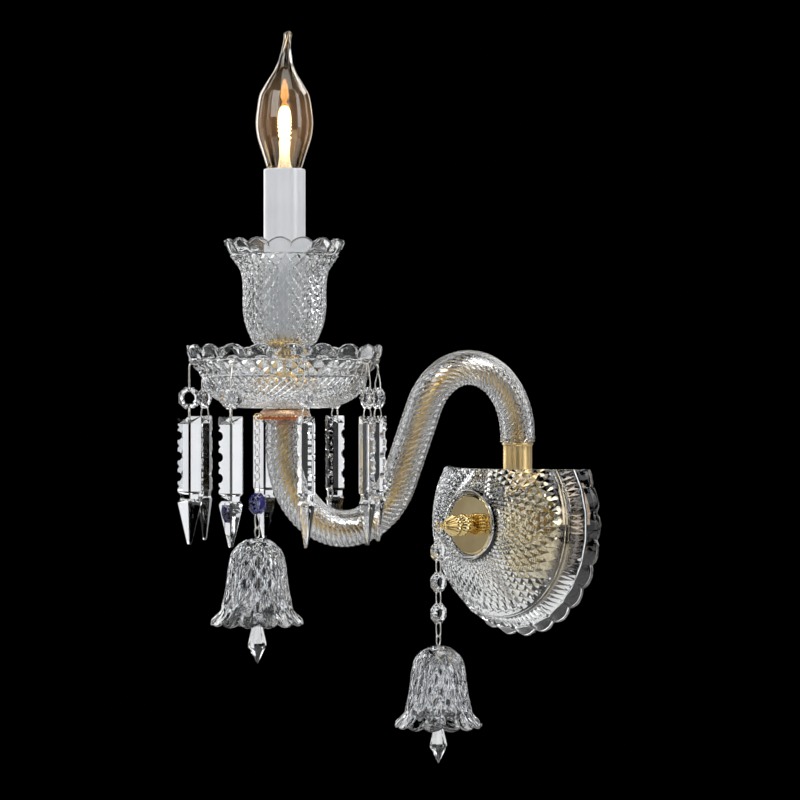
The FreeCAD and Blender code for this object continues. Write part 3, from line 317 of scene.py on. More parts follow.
class Turned:
    """Rows of a turned solid, zone by zone, along its outside and back along its inside."""

    def __init__(self, around, side=1):
        self.angle = TAU * np.arange(around) / around
        self.side = side
        self.radius, self.level, self.relief, self.cut = [], [], [], []

    def row(self, radius, level, lift=0.0, rise=0.0, normal=(1.0, 0.0), relief=None):
        flat = np.zeros(len(self.angle))
        if relief is not None:
            self.cut.append(len(self.radius))
        self.relief.append(flat if relief is None else relief)
        self.radius.append(radius + normal[0] * lift + flat)
        self.level.append(level + normal[1] * lift + rise + flat)

    def plain(self, points, count, skip=0):
        line, run = smooth_line(points)
        for spot in picked(line, run, np.linspace(0, run[-1], count + 1))[skip:]:
            self.row(*spot)

    def waved(self, points, count, waves, depth, fade_in):
        """A zone with rounded flutes; fade_in is the share over which they begin."""
        line, run = smooth_line(points)
        wave = np.abs(np.cos(waves * self.angle / 2)) - 1
        for number, spot in enumerate(picked(line, run, np.linspace(0, run[-1], count + 1))):
            self.row(*spot, lift=depth * min(1.0, number / count / fade_in) * wave)

    def ridge(self, radius, level, height, width, lean=0.0):
        """A narrow raised line round the piece; lean tilts it from upright."""
        out = (math.cos(lean), math.sin(lean) * self.side)
        for share, lift in ((-0.5, 0), (-0.3, 0.75), (0, 1), (0.3, 0.75), (0.5, 0)):
            self.row(radius + share * width * math.sin(lean) * self.side,
                     level + share * width * math.cos(lean), lift=lift * height, normal=out)

    def diamonds(self, points, columns, depth, stretch=1.0, top=0.0):
        """Diamond cutting: pyramids between two sets of grooves that cross, cut off at top."""
        per, sunk, nudge = len(self.angle) // columns, 0.85, 0.08
        line, run = smooth_line(points)
        radius = np.maximum((line[1:, 0] + line[:-1, 0]) / 2, 1.0)
        units = np.r_[0, np.cumsum(np.diff(run) * columns / (TAU * stretch) / radius)]
        total = max(1, round(units[-1] * 2)) / 2
        units *= total / units[-1]
        across = columns * self.angle / TAU
        for number in range(int(round(total * per)) + 1):
            level = number / per
            near = picked(line, units, np.array([level - nudge, level, level + nudge]))
            run_r, run_z = near[2] - near[0]
            size = math.hypot(run_r, run_z) or 1.0
            a, b = (across + level) % 1, (across - level) % 1
            height = 2 * np.minimum(np.minimum(a, 1 - a), np.minimum(b, 1 - b))
            height = np.minimum(height / (1 - top), 1)
            self.row(*near[1], lift=depth * (height - sunk), relief=height,
                     normal=(self.side * run_z / size, -self.side * run_r / size))

    def rings(self, centre, facing_out=False):
        made = []
        for radius, level in zip(self.radius, self.level):
            x, y = radius * np.cos(self.angle), radius * np.sin(self.angle)
            made.append(np.stack([x, -level, y], 1) if facing_out else np.stack([x, y, level], 1))
        return np.array(made) + np.array(centre, float)

    def mesh(self, name, centre, facing_out=False, through=True):
        return solid_mesh(name, self.rings(centre, facing_out), self.relief, self.cut, through)


def scallop(angle, count, depth):
    """Rounded lobes with sharp notches between them, from 0 down to -depth."""
    return depth * (np.abs(np.cos(count * angle / 2)) ** 0.8 - 1)


def middle_of(node):
    low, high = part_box(node)
    return (low + high) / 2 / MM


def foot_of(node, axis=None):
    """The middle of a node's foot, on the upright axis of another node if given."""
    centre = middle_of(axis or node)
    return centre[0], centre[1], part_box(node)[0].z / MM


def way(turn):
    """The level direction at an angle from X."""
    return np.array([math.cos(turn), math.sin(turn), 0])


def up(height):
    return np.array([0, 0, height])


def built(name, shape):
    mesh = bpy.data.meshes.new(name)
    shape.to_mesh(mesh)
    shape.free()
    return mesh


def drilled(mesh, holes, radius, depth):
    """The mesh with round holes along X at the given (y, z) spots."""
    body = placed("drilled", mesh)
    for y, z in holes:
        shape = bmesh.new()
        bmesh.ops.create_cone(shape, segments=16, cap_ends=True, radius1=radius * MM,
                              radius2=radius * MM, depth=depth * MM,
                              matrix=Matrix.Translation((0, y * MM, z * MM))
                              @ Matrix.Rotation(math.pi / 2, 4, "Y"))
        tool = placed("drill", built("drill", shape))
        modifier = body.modifiers.new("hole", "BOOLEAN")
        modifier.operation = "DIFFERENCE"
        modifier.solver = "EXACT"
        modifier.object = tool
        bpy.context.view_layer.update()
        graph = bpy.context.evaluated_depsgraph_get()
        result = bpy.data.meshes.new_from_object(body.evaluated_get(graph))
        body.modifiers.clear()
        body.data = result
        bpy.data.objects.remove(tool)
    result = body.data
    bpy.data.objects.remove(body)
    return result


def moved(mesh, spot, turn=0.0):
    copy = mesh.copy()
    copy.transform(Matrix.Translation(Vector(spot) * MM) @ Matrix.Rotation(turn, 4, "Z"))
    return copy


def wires(name, paths, radius=0.4):
    """Round wires as one mesh: paths are (control points, closed)."""
    data = bpy.data.curves.new(name, "CURVE")
    data.dimensions = "3D"
    data.bevel_depth = radius * MM
    data.bevel_resolution = 3
    data.resolution_u = 6
    data.use_fill_caps = True
    for points, closed in paths:
        spline = data.splines.new("NURBS")
        spline.points.add(len(points) - 1)
        for spot, point in zip(spline.points, points):
            spot.co = (*(Vector(point) * MM), 1)
        spline.use_cyclic_u = closed
        spline.order_u = 3
        spline.use_endpoint_u = not closed
    curve = placed(name, data)
    graph = bpy.context.evaluated_depsgraph_get()
    mesh = bpy.data.meshes.new_from_object(curve.evaluated_get(graph))
    bpy.data.objects.remove(curve)
    mesh.name = name
    return shaded(mesh, True)


# ----------------------------------------------------- half bowl on the wall
def half_bowl():
    """Cut glass wall bowl: levels run out from its rim; the top is sawn off flat."""
    flat_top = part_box("half_bowl")[1].z
    shape = Turned(208, side=-1)
    shape.plain([(ROD_HOLE, 43.5), (12, 43.5), (20.4, 43.5)], 3)
    shape.plain([(20.5, 43.7), (20.7, 45.8), (21.8, 46.5), (22.7, 46.1), (23.3, 44.6)], 8, skip=1)
    shape.diamonds([(23.9, 44.1), (33.6, 41.6), (43.5, 36.0), (52.6, 28.4), (59.0, 21.4)],
                   52, 1.15, stretch=1.5)
    for radius, level, lift in ((59.6, 20.7, 0.1), (60.1, 20.1, 0.75), (60.7, 19.5, 0.75),
                                (61.1, 18.8, 0.0), (61.5, 18.2, 0.6), (61.9, 17.6, 0.6),
                                (62.3, 17.0, -0.1)):
        shape.row(radius + lift * 0.6, level + lift * 0.4)
    shape.diamonds([(62.6, 16.6), (66.0, 12.2), (68.6, 8.9)], 104, 0.9, stretch=3.0)
    for radius, level in ((69.0, 8.7), (69.6, 8.3), (70.0, 7.6)):
        shape.row(radius, level)
    lobes = scallop(shape.angle, 26, 3.0)
    for share in (0.25, 0.5, 0.75, 0.95):
        shape.row(70.0 + 4.9 * share, 7.6 - 6.6 * share, lift=lobes * share)
    for inset, level in ((0.0, 0.55), (0.35, 0.12), (1.0, 0.0), (2.2, 0.1), (2.9, 0.4)):
        shape.row(75.0 - inset, level, lift=lobes)
    for share in (0.7, 0.35):
        shape.row(66.0 + 5.4 * share, 6.8 - 5.6 * share, lift=lobes * share)
    shape.plain([(65.4, 7.6), (61.0, 13.4), (56.2, 18.2), (49.4, 25.2), (41.4, 31.8),
                 (33.0, 36.8), (23.2, 39.5), (ROD_HOLE, 39.5)], 22)
    centre = (0, -13.0, 0)
    mesh = shape.mesh("half_bowl_glass", centre, facing_out=True)
    cell = bmesh.new()
    cell.from_mesh(mesh)
    found = bmesh.ops.bisect_plane(cell, geom=cell.verts[:] + cell.edges[:] + cell.faces[:],
                                   plane_co=(0, 0, flat_top), plane_no=(0, 0, 1),
                                   clear_outer=True)
    rim = [e for e in found["geom_cut"] if isinstance(e, bmesh.types.BMEdge)]
    made = bmesh.ops.holes_fill(cell, edges=rim, sides=0)["faces"]
    bmesh.ops.triangulate(cell, faces=made)
    cell.to_mesh(mesh)
    cell.free()
    dressed("half_bowl_glass", mesh, "half_bowl", "cut_glass", "half_bowl")


def rosette():
    """Plain mirror disc with a rolled edge, in which the knob shows again."""
    back = -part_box("rosette_disc")[1].y / MM
    shape = Turned(96, side=-1)
    shape.plain([(ROD_HOLE, 0.0), (18.4, 0.0), (19.2, 0.2), (19.55, 0.7), (19.3, 1.2),
                 (18.6, 1.45)], 14)
    shape.plain([(18.2, 1.5), (10.0, 1.5), (ROD_HOLE, 1.5)], 4)
    dressed("rosette_mirror", shape.mesh("rosette_mirror", (0, -back, 0), facing_out=True),
            "rosette_disc", "gold_mirror", "rosette_disc")


def eye_ring(name, spot, stem, node):
    """The wire eye on a gold piece, in the upright plane of the arm, with its stem."""
    ring = [(spot[0], spot[1] + 2.35 * math.cos(t), spot[2] + 2.35 * math.sin(t))
            for t in TAU * np.arange(12) / 12]
    toward = Vector(stem).normalized()
    base = Vector(spot) + Vector(stem)
    shank = [base, base - toward * 0.8, Vector(spot) + toward * 2.0]
    dressed(name, wires(name, [(ring, True), (shank, False)]), node, "gold")


def finial():
    """Ribbed finial: a fluted foot, two fluted bulges, a groove and a cone with an eye."""
    tip, foot = (corner.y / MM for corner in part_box("finial_knob"))
    shape = Turned(128, side=-1)
    shape.plain([(3.06, 8.0), (3.06, 0.1), (4.3, 0.0), (4.6, 0.4)], 6)
    shape.plain([(4.6, 0.4), (4.5, 1.6), (3.9, 2.1)], 4, skip=1)
    shape.waved([(4.3, 2.4), (6.3, 3.2), (7.3, 4.8), (7.5, 6.8), (7.0, 8.8), (5.6, 10.2)], 20, 16,
                0.55, 0.1)
    shape.plain([(4.9, 10.6), (4.6, 11.0), (5.0, 11.4)], 4)
    shape.waved([(5.4, 11.7), (6.9, 12.6), (7.25, 14.0), (6.8, 16.2), (5.0, 19.0), (3.4, 21.4),
                 (2.4, 23.2)], 20, 16, 0.5, 0.1)
    shape.plain([(2.0, 23.7), (1.7, 24.2), (1.9, 24.7), (1.5, 25.5), (0.7, 26.0), (0.05, 26.05)], 8)
    # the finial takes the gold with a painted shade
    dressed("finial", shape.mesh("finial", (0, foot, 0), facing_out=True), "finial_knob", "gold",
            "finial_knob", finish="gold_painted_shade")
    eye_ring("finial_eye", (0, tip + 2.3, 0), (0, 3.6, 0), "finial_knob")


# ------------------------------------------------------------------- the arm
# Its middle line rises, arches over, goes straight down, dips and rises again.
ARM_Y, ARM_FOOT = -13.5, 53.0
ARM_ARCH, ARM_DIP, ARM_SLOPE = 45.0, 50.0, 50.7
ARM_SWEEP = math.radians(155.1)
STRANDS, STRAND_PITCH = 17, 70.0


def arm_places(step, start=0.0, end=0.0):
    """Places along the middle of the arm: (spot, heading from upright, run)."""
    runs = [(4.0 - start, 0, 0), (ARM_ARCH * ARM_SWEEP, ARM_SWEEP, ARM_ARCH),
            (ARM_SLOPE, 0, 0), (ARM_DIP * ARM_SWEEP, -ARM_SWEEP, ARM_DIP),
            (18.0 + end, 0, 0)]
    spot, heading, gone = np.array([0, ARM_Y, ARM_FOOT + start]), 0.0, 0.0
    places = [(spot, heading, gone)]
    for length, turn, bend in runs:
        steps = max(1, round(length / step))
        for _ in range(steps):
            part = turn / steps
            chord = 2 * bend * math.sin(abs(part) / 2) if bend else length / steps
            lean = heading + part / 2
            spot = spot + chord * np.array([0, -math.sin(lean), math.cos(lean)])
            heading += part
            gone += length / steps
            places.append((spot, heading, gone))
    return places


def arm():
    """Rope-twist glass: rounded strands wind round the arm, with a smooth bore."""
    around, root, crest, bore = 12 * STRANDS, 9.6, 1.85, 6.45
    angle = TAU * np.arange(around) / around
    rings = []

    def ring(place, radius):
        spot, heading, _ = place
        across = np.stack([np.cos(angle), np.sin(angle) * math.cos(heading),
                           np.sin(angle) * math.sin(heading)], 1)
        return spot + across * np.reshape(radius, (-1, 1))

    for place in arm_places(1.1):
        wave = np.abs(np.sin(STRANDS * (angle - TAU * place[2] / STRAND_PITCH) / 2))
        rings.append(ring(place, root + crest * wave ** 0.6))
    for place in reversed(arm_places(4.0)):
        rings.append(ring(place, np.full(around, bore)))
    dressed("rope_arm", solid_mesh("rope_arm", rings, sharp=50.0), "arm_glass", "rope_glass",
            "arm_glass")


def arm_tube():
    """The gilt tube that shows through the glass and carries cap, tray and cup."""
    around = 40
    angle = TAU * np.arange(around) / around
    places = arm_places(3.0, -11.0, 61.0)

    def tube(radius, route):
        return [spot + radius * np.stack([np.cos(angle), np.sin(angle) * math.cos(lean),
                                          np.sin(angle) * math.sin(lean)], 1)
                for spot, lean, _ in route]

    rings = tube(4.0, places) + tube(3.0, places[::-1])
    dressed("arm_tube", solid_mesh("arm_tube", rings), "arm_core", "gold", "arm_core")


def post():
    """Brass ferrule with a rolled collar at each end."""
    base = 31.0
    shape = Turned(96)
    shape.plain([(NIPPLE_HOLE, -8.0), (5.2, -8.0)], 1)
    shape.plain([(5.2, -7.9), (5.2, -0.1)], 2)
    shape.plain([(9.4, 0.0), (10.05, 0.35), (10.2, 0.9), (10.05, 1.45), (9.6, 1.8)], 10)
    shape.plain([(9.5, 2.3), (9.5, 8.0), (9.5, 14.0), (9.5, 19.4)], 6)
    shape.plain([(9.6, 19.9), (10.05, 20.3), (10.2, 20.9), (10.05, 21.5), (9.5, 22.0)], 10)
    shape.plain([(6.2, 22.02), (6.2, 25.5), (NIPPLE_HOLE, 25.5)], 4)
    # the post takes the gold with a painted highlight
    dressed("post", shape.mesh("post", (0, ARM_Y, base)), "arm_post", "gold", "arm_post",
            finish="gold_painted_highlight")


def cap():
    """Petalled gold cap under the tray, with a row of beads on its skirt and an eye."""
    centre = middle_of("candle_tray")
    low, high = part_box("arm_cap")
    base = high.z / MM - 6.4
    shape = Turned(216)
    skirt = scallop(shape.angle, 18, 0.4)
    shape.plain([(NIPPLE_HOLE, -3.5), (6.2, -3.5)], 1)
    shape.plain([(6.2, -3.4), (6.2, -0.1)], 2)
    shape.plain([(9.0, 0.0), (9.5, 4.8), (12.0, 4.8)], 4)
    for radius, level, share in ((13.6, 2.6, 0.6), (14.8, 0.9, 1.0), (15.6, 0.8, 1.0),
                                 (16.1, 1.2, 1.0), (16.3, 1.9, 1.0), (16.2, 2.6, 0.9),
                                 (15.9, 3.3, 0.8), (15.4, 4.1, 0.6), (14.7, 4.9, 0.35),
                                 (13.8, 5.7, 0.1)):
        shape.row(radius, level, lift=skirt * share)
    shape.plain([(12.7, 6.3), (8.0, 6.4), (NIPPLE_HOLE, 6.4)], 4)
    spot = (centre[0], centre[1], base)
    dressed("arm_cap_gold", shape.mesh("arm_cap_gold", spot), "arm_cap", "gold", "arm_cap",
            finish="copper_gold")
    beads, count, row_radius, bead_radius = bmesh.new(), 44, 15.8, 1.1
    for turn in TAU * (np.arange(count) + 0.5) / count:
        bmesh.ops.create_icosphere(
            beads, subdivisions=2, radius=bead_radius * MM, matrix=Matrix.Translation(
                Vector((row_radius * math.cos(turn), row_radius * math.sin(turn),
                        bead_radius)) * MM + Vector(spot) * MM))
    dressed("arm_cap_beads", shaded(built("arm_cap_beads", beads), True), "arm_cap", "gold",
            finish="red_gold")
    eye_ring("arm_cap_eye", (0, low.y / MM + 2.3, base + 1.6), (0, 5.4, 0), "arm_cap")


# ----------------------------------------------------------------- the candle
def tray():
    """Cut glass drip tray: a diamond-cut floor, a band of large triangles and a scalloped rim."""
    shape = Turned(360)
    shape.plain([(5.3, 0.0), (9.0, 0.0), (11.5, 0.1)], 3)
    shape.diamonds([(12.0, 0.75), (24.0, 0.8), (33.0, 2.3), (42.9, 7.0), (48.6, 13.0),
                    (50.4, 19.0)], 60, 0.7, top=0.4)
    shape.ridge(50.5, 20.2, 0.7, 1.6, lean=0.3)
    shape.diamonds([(51.3, 21.4), (54.2, 24.6), (57.4, 28.6)], 40, 1.3, top=0.2)
    shape.ridge(57.7, 29.7, 0.6, 1.4)
    lobes = scallop(shape.angle, 20, 4.5)
    for share in (0.15, 0.35, 0.55, 0.75, 0.9):
        shape.row(58.0 + 1.5 * share, 30.6 + 8.0 * share, rise=lobes * share)
    for inset, level in ((0.1, 38.6), (0.5, 38.95), (1.3, 39.0), (2.1, 38.9), (2.7, 38.4)):
        shape.row(59.5 - inset, level, rise=lobes)
    for share in (0.7, 0.35):
        shape.row(54.9 + 1.9 * share, 31.0 + 6.9 * share, rise=lobes * share)
    shape.plain([(54.8, 29.8), (51.0, 25.6), (47.0, 20.4), (45.4, 15.2), (40.8, 10.2),
                 (31.8, 5.4), (20.0, 4.05), (5.3, 4.0)], 20)
    dressed("drip_tray", shape.mesh("drip_tray", foot_of("candle_tray")), "candle_tray",
            "cut_glass", "candle_tray")


def cup():
    """Tulip candle cup: fluted foot, tall diamonds, a collar line and a scalloped lip."""
    shape = Turned(192)
    shape.plain([(NIPPLE_HOLE, 0.0), (10.6, 0.0)], 2)
    shape.plain([(11.4, 0.5), (11.5, 2.0), (11.0, 3.4), (11.3, 4.2)], 6)
    shape.waved([(11.8, 4.6), (15.4, 6.2), (19.0, 8.9)], 8, 32, 0.8, 0.3)
    shape.diamonds([(19.6, 9.6), (23.6, 19.6), (25.3, 30.0), (25.3, 41.0), (26.3, 51.0),
                    (29.6, 57.0), (32.4, 60.7)], 32, 0.85, stretch=1.45, top=0.6)
    shape.ridge(32.6, 61.7, 0.55, 1.3, lean=-0.5)
    lobes = scallop(shape.angle, 16, 3.2)
    for share in (0.12, 0.3, 0.5, 0.7, 0.9):
        shape.row(33.0 + 3.5 * share ** 1.2, 62.4 + 8.6 * share, rise=lobes * share)
    for inset, level in ((0.05, 71.0), (0.5, 71.35), (1.4, 71.4), (2.4, 71.3), (3.0, 70.8)):
        shape.row(36.6 - inset, level, rise=lobes)
    for share in (0.65, 0.3):
        shape.row(29.4 + 4.1 * share, 63.2 + 7.4 * share, rise=lobes * share)
    shape.plain([(28.8, 62.3), (25.4, 57.4), (21.9, 51.6), (21.0, 41.0), (21.0, 28.0),
                 (19.4, 19.6), (16.4, 12.0), (14.9, 7.0), (14.7, 6.3), (NIPPLE_HOLE, 6.3)], 22)
    dressed("candle_cup_glass", shape.mesh("candle_cup_glass", foot_of("candle_cup")),
            "candle_cup", "cut_glass", "candle_cup")


def spacer_and_seat():
    """Turned gilt column between tray and cup, and the seat that clamps the cup."""
    column = Turned(72)
    column.plain([(NIPPLE_HOLE, 0.0), (9.6, 0.0)], 1)
    column.plain([(9.95, 0.5), (10.0, 1.6), (9.4, 2.6), (7.6, 4.2), (6.9, 7.0), (6.9, 13.8),
                  (6.9, 20.6), (7.6, 23.4), (9.4, 25.0), (10.0, 26.2), (9.9, 27.2)], 30)
    column.plain([(9.5, 27.6), (NIPPLE_HOLE, 27.6)], 1)
    dressed("cup_column", column.mesh("cup_column", foot_of("cup_spacer", "candle_cup")),
            "cup_spacer", "gold", "cup_spacer")
    seat = Turned(96)
    seat.plain([(NIPPLE_HOLE, 0.0), (13.9, 0.0), (14.3, 0.5)], 3)
    seat.waved([(14.3, 0.6), (14.45, 2.4), (14.4, 4.4)], 6, 48, 0.35, 0.2)
    seat.plain([(14.1, 5.0), (11.6, 5.02), (11.6, 10.6), (11.2, 11.0), (NIPPLE_HOLE, 11.0)], 8)
    dressed("cup_seat", seat.mesh("cup_seat", foot_of("cup_nut", "candle_cup")), "cup_nut",
            "gold", "cup_nut")


def candle():
    """White satin sleeve with a rolled top edge."""
    tube = Turned(96)
    tube.plain([(11.75, 0.0), (12.4, 0.0), (12.7, 0.3)], 3)
    tube.plain([(12.72, 0.6), (12.72, 50.0), (12.72, 101.8)], 8)
    tube.plain([(12.72, 102.2), (12.55, 102.8), (12.2, 103.0), (11.9, 102.8), (11.75, 102.3)], 8)
    tube.plain([(11.75, 101.5), (11.75, 1.0)], 3)
    dressed("sleeve", tube.mesh("sleeve", foot_of("candle_sleeve")), "candle_sleeve",
            "white_sleeve", "candle_sleeve")


def bulb():
    """Flame-tip bulb: thin blown glass bent at its tip, with a lit wire on a glass stem."""
    x, y, base = foot_of("bulb_glass", "bulb_cap")
    outside = [(8.6, 0.1), (10.5, 1.7), (12.4, 7.5), (14.2, 13.0), (16.4, 20.0), (17.4, 27.0),
               (17.2, 33.5), (15.4, 45.4), (12.9, 50.6), (10.0, 55.4), (7.1, 60.0), (4.7, 65.4),
               (3.4, 70.0), (2.7, 75.0), (2.2, 79.0), (2.1, 80.6), (2.6, 82.4), (2.3, 84.0),
               (0.05, 85.0)]
    line, run = smooth_line(outside)
    around = 72
    angle = TAU * np.arange(around) / around
    lean, bend_start, bend_length, bend_reach = math.radians(47.0), 52.0, 33.0, 2.4

    def rings(thin, values):
        made = []
        for radius, level in picked(line, run, values):
            bend = bend_reach * max(0.0, (level - bend_start) / bend_length) ** 2.2
            radius = max(radius - thin, 0.03)
            made.append(np.stack([
                x + radius * np.cos(angle) + bend * math.cos(lean),
                y + radius * np.sin(angle) + bend * math.sin(lean),
                np.full(around, base + level)], 1))
        return made

    shell = rings(0.0, np.linspace(0, run[-1], 60))
    inside = rings(0.5, np.linspace(run[-1] * 0.74, 1.2, 44))
    # the bulb glass carries a painted amber glow round the filament
    dressed("bulb_shell", solid_mesh("bulb_shell", shell + inside), "bulb_glass", "bulb_glass",
            "bulb_glass")
    wire, stem = "bulb_filament", Turned(32)
    stem.plain([(0.3, 1.0), (4.6, 1.0), (3.8, 4.0), (3.3, 8.0), (3.2, 13.0), (3.6, 17.4),
                (2.6, 19.4), (0.3, 19.8)], 24)
    # the stem's finish carries a painted glow round the filament
    dressed("bulb_stem", stem.mesh("bulb_stem", (x, y, base)), wire, "bulb_glass",
            finish="lit_stem")
    legs, coils, windings, coil_radius = [], [], 28, 0.9
    for turn in np.arange(4) * math.pi / 4:
        out, side = way(turn), np.array([-math.sin(turn), math.cos(turn), 0])
        coil = []
        for share in np.linspace(0, 1, 113):
            arch, twist = math.sin(math.pi * share), TAU * windings * share
            middle = 4.3 * math.cos(math.pi * share) * (0.62 + 0.38 * arch)
            coil.append(np.array([x, y, base + 20.0 + 19.0 * arch ** 0.8])
                        + out * (middle + coil_radius * math.cos(twist))
                        + side * coil_radius * math.sin(twist))
        coils.append((coil, False))
        for hand in (1, -1):
            legs.append(([np.array([x, y, base]) + hand * out * spread + up(level)
                          for spread, level in ((1.6, 1), (2.3, 9), (2.8, 20.5))], False))
    dressed("lit_filament", wires("lit_filament", coils, 0.46), wire, "filament", wire)
    dressed("filament_legs", wires("filament_legs", legs, 0.3), wire, "nickel")


def bulb_thread():
    """Nickel screw cap of the bulb with its thread, hidden in the holder."""
    axis = middle_of("bulb_cap")
    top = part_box("bulb_cap")[1].z / MM
    shape = Turned(48)
    shape.plain([(0.05, -24.0), (2.3, -24.0), (2.8, -22.2), (5.6, -20.4)], 6)
    thread_pitch, thread_end = 2.82, -19.6
    for level in np.linspace(thread_end, -4.0, 40):
        shape.row(6.45, level, lift=0.4 * np.sin(TAU * (level - thread_end) / thread_pitch
                                                 + shape.angle))
    shape.plain([(6.85, -3.4), (6.85, -0.9), (8.4, -0.02), (8.3, 0.0)], 5)
    shape.row(0.05, 0.0)
    dressed("bulb_thread", shape.mesh("bulb_thread", (axis[0], axis[1], top), through=False),
            "bulb_cap", "nickel", "bulb_cap")


# --------------------------------------------------------------- hung pieces
def bead_mesh():
    """An octagon crystal bead facing along X, drilled near its top and bottom."""
    around = 16
    angle = TAU * (np.arange(around) + 1) / around
    corner = np.where(np.arange(around) % 2 == 0, 1.0, 0.0)
    rows = []
    for x, at_corner, between in ((-2.5, 3.5, 3.4), (-1.75, 5.0, 5.5), (-0.55, 7.0, 6.47),
                                  (0.55, 7.0, 6.47), (1.75, 5.0, 5.5), (2.5, 3.5, 3.4)):
        radius = corner * at_corner + (1 - corner) * between
        rows.append(np.stack([np.full(around, x), radius * np.cos(angle),
                              radius * np.sin(angle)], 1))
    mesh = solid_mesh("bead", rows, through=False)
    cell = bmesh.new()
    cell.from_mesh(mesh)
    bmesh.ops.triangulate(cell, faces=[f for f in cell.faces if len(f.verts) == 4])
    cell.to_mesh(mesh)
    cell.free()
    return shaded(drilled(mesh, ((0, BEAD_HOLE), (0, -BEAD_HOLE)), WIRE_HOLE, 12), False)


def prism_mesh():
    """A spear prism hanging from its hole: a sloped head, a bar with round and small notches
    in one edge, a waist and a blunt spear."""
    wide, ridge, edge = 7.0, 3.4, 1.2
    # drop, half the width, half the depth at the ridge and at the edge, depth of the notch
    rows = [(0.0, wide, 1.3, 0.8, 0), (4.8, wide, ridge, edge, 0)]
    round_notches, small_notches = (11.6, 24.0, 36.4), (6.6, 17.8, 30.2, 42.2)
    bites = [(middle + 2.9 * share, 2.7 * math.sqrt(1 - share * share))
             for middle in round_notches for share in (-1, -0.85, -0.5, 0, 0.5, 0.85, 1)]
    bites += [(middle + 1.5 * share, 1.1 * (1 - abs(share)))
              for middle in small_notches for share in (-1, 0, 1)]
    for drop, bite in sorted(bites):
        rows.append((drop, wide, ridge, edge, bite))
    rows += [(45.4, wide, ridge, edge, 0), (47.0, 5.5, 2.7, 1.1, 0), (49.8, 5.3, 2.6, 1.1, 0),
             (52.0, wide, 3.6, 0.9, 0), (75.6, 1.6, 1.0, 0.4, 0), (77.0, 1.1, 0.6, 0.2, 0)]
    rings = []
    for drop, across, deep, thin, bite in rows[::-1]:
        near, thick = bite - across, thin + (deep - thin) * bite / across
        rings.append([(x, y, PIN_HOLE - drop) for x, y in
                      ((deep, 0), (thin, across), (-thin, across), (-deep, 0), (-thick, near),
                       (thick, near))])
    mesh = solid_mesh("prism", rings, through=False)
    return shaded(drilled(mesh, ((0, 0),), WIRE_HOLE, 14), False)


def link_path(top, length=LINK, width=GRIP, foot_width=None, turn=0.0):
    """A loop of wire, straight above and below, that hangs down from top."""
    across, top, down = way(turn), np.array(top, float), up(-length)
    foot_width = foot_width or width
    return [tuple(top - across * width / 2), tuple(top + across * width / 2),
            tuple(top + across * foot_width / 2 + down),
            tuple(top - across * foot_width / 2 + down)], True


def oval_path(top, length, width, turn=0.0):
    """A chain link whose wire passes through top and, length lower, its bottom."""
    across, top = way(turn), np.array(top, float)
    return [tuple(top + across * u * width * 1.15 + up(v * length))
            for u, v in ((-0.5, 0), (0.5, 0), (0.5, -1), (-0.5, -1))], True


# Turn of each pendant about its hook line, in degrees from the radius of the tray.
TWISTS = (67, 25, 73, -15, 2, 75, 24, -65)
FIRST_HEADING = 17  # where the first hook hole is, in degrees from X


def pendants():
    """Eight hooks, beads and prisms round the tray, each turned as it hangs."""
    axis = middle_of("candle_tray")
    bead_shape, prism_shape, hole_radius = bead_mesh(), prism_mesh(), 58.6
    hole_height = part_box("candle_tray")[0].z / MM + 27.4
    for number, twist in enumerate(TWISTS, start=1):
        heading = math.radians(FIRST_HEADING + 360 / len(TWISTS) * (number - 1))
        turn = heading + math.radians(twist)
        out, side = way(heading), np.array([-math.sin(heading), math.cos(heading), 0])
        spot = np.array([axis[0], axis[1], 0]) + hole_radius * out
        name = f"pendant_{number}"
        bead_spot = middle_of(name + "_bead")
        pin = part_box(name + "_prism")[1].z / MM - PIN_HOLE
        dressed(name + "_crystal", moved(bead_shape, bead_spot, turn), name + "_bead",
                "bead_glass", name + "_bead")
        dressed(name + "_spear", moved(prism_shape, (spot[0], spot[1], pin), turn),
                name + "_prism", "bead_glass", name + "_prism")
        drop, across = bead_spot[2] + BEAD_HOLE, way(turn)

        def at(outward, sideways, height):
            return tuple(spot + out * outward + side * sideways + up(height))

        legs = []
        for hand in (1, -1):
            low = spot + across * hand * GRIP / 2 * (1 if across @ side > 0 else -1)
            legs.append([at(-8.6, hand * 0.35, hole_height - 1.4),
                         at(-8.4, hand * 0.5, hole_height + 0.1),
                         at(-2.0, hand * 0.6, hole_height + 0.1), at(-0.2, hand * 0.9, hole_height),
                         at(0.2, hand * 1.0, hole_height - 3.0),
                         tuple(low + up(drop + 4.4)), tuple(low + up(drop + 0.3)),
                         tuple(spot + up(drop))])
        path = legs[0] + legs[1][::-1][1:]
        link = link_path((spot[0], spot[1], bead_spot[2] - BEAD_HOLE), 9.0, GRIP, 6.4, turn)
        dressed(name + "_wire", wires(name + "_wire", [(path, True), link]), name + "_hook",
                "gold_wire", name + "_hook")


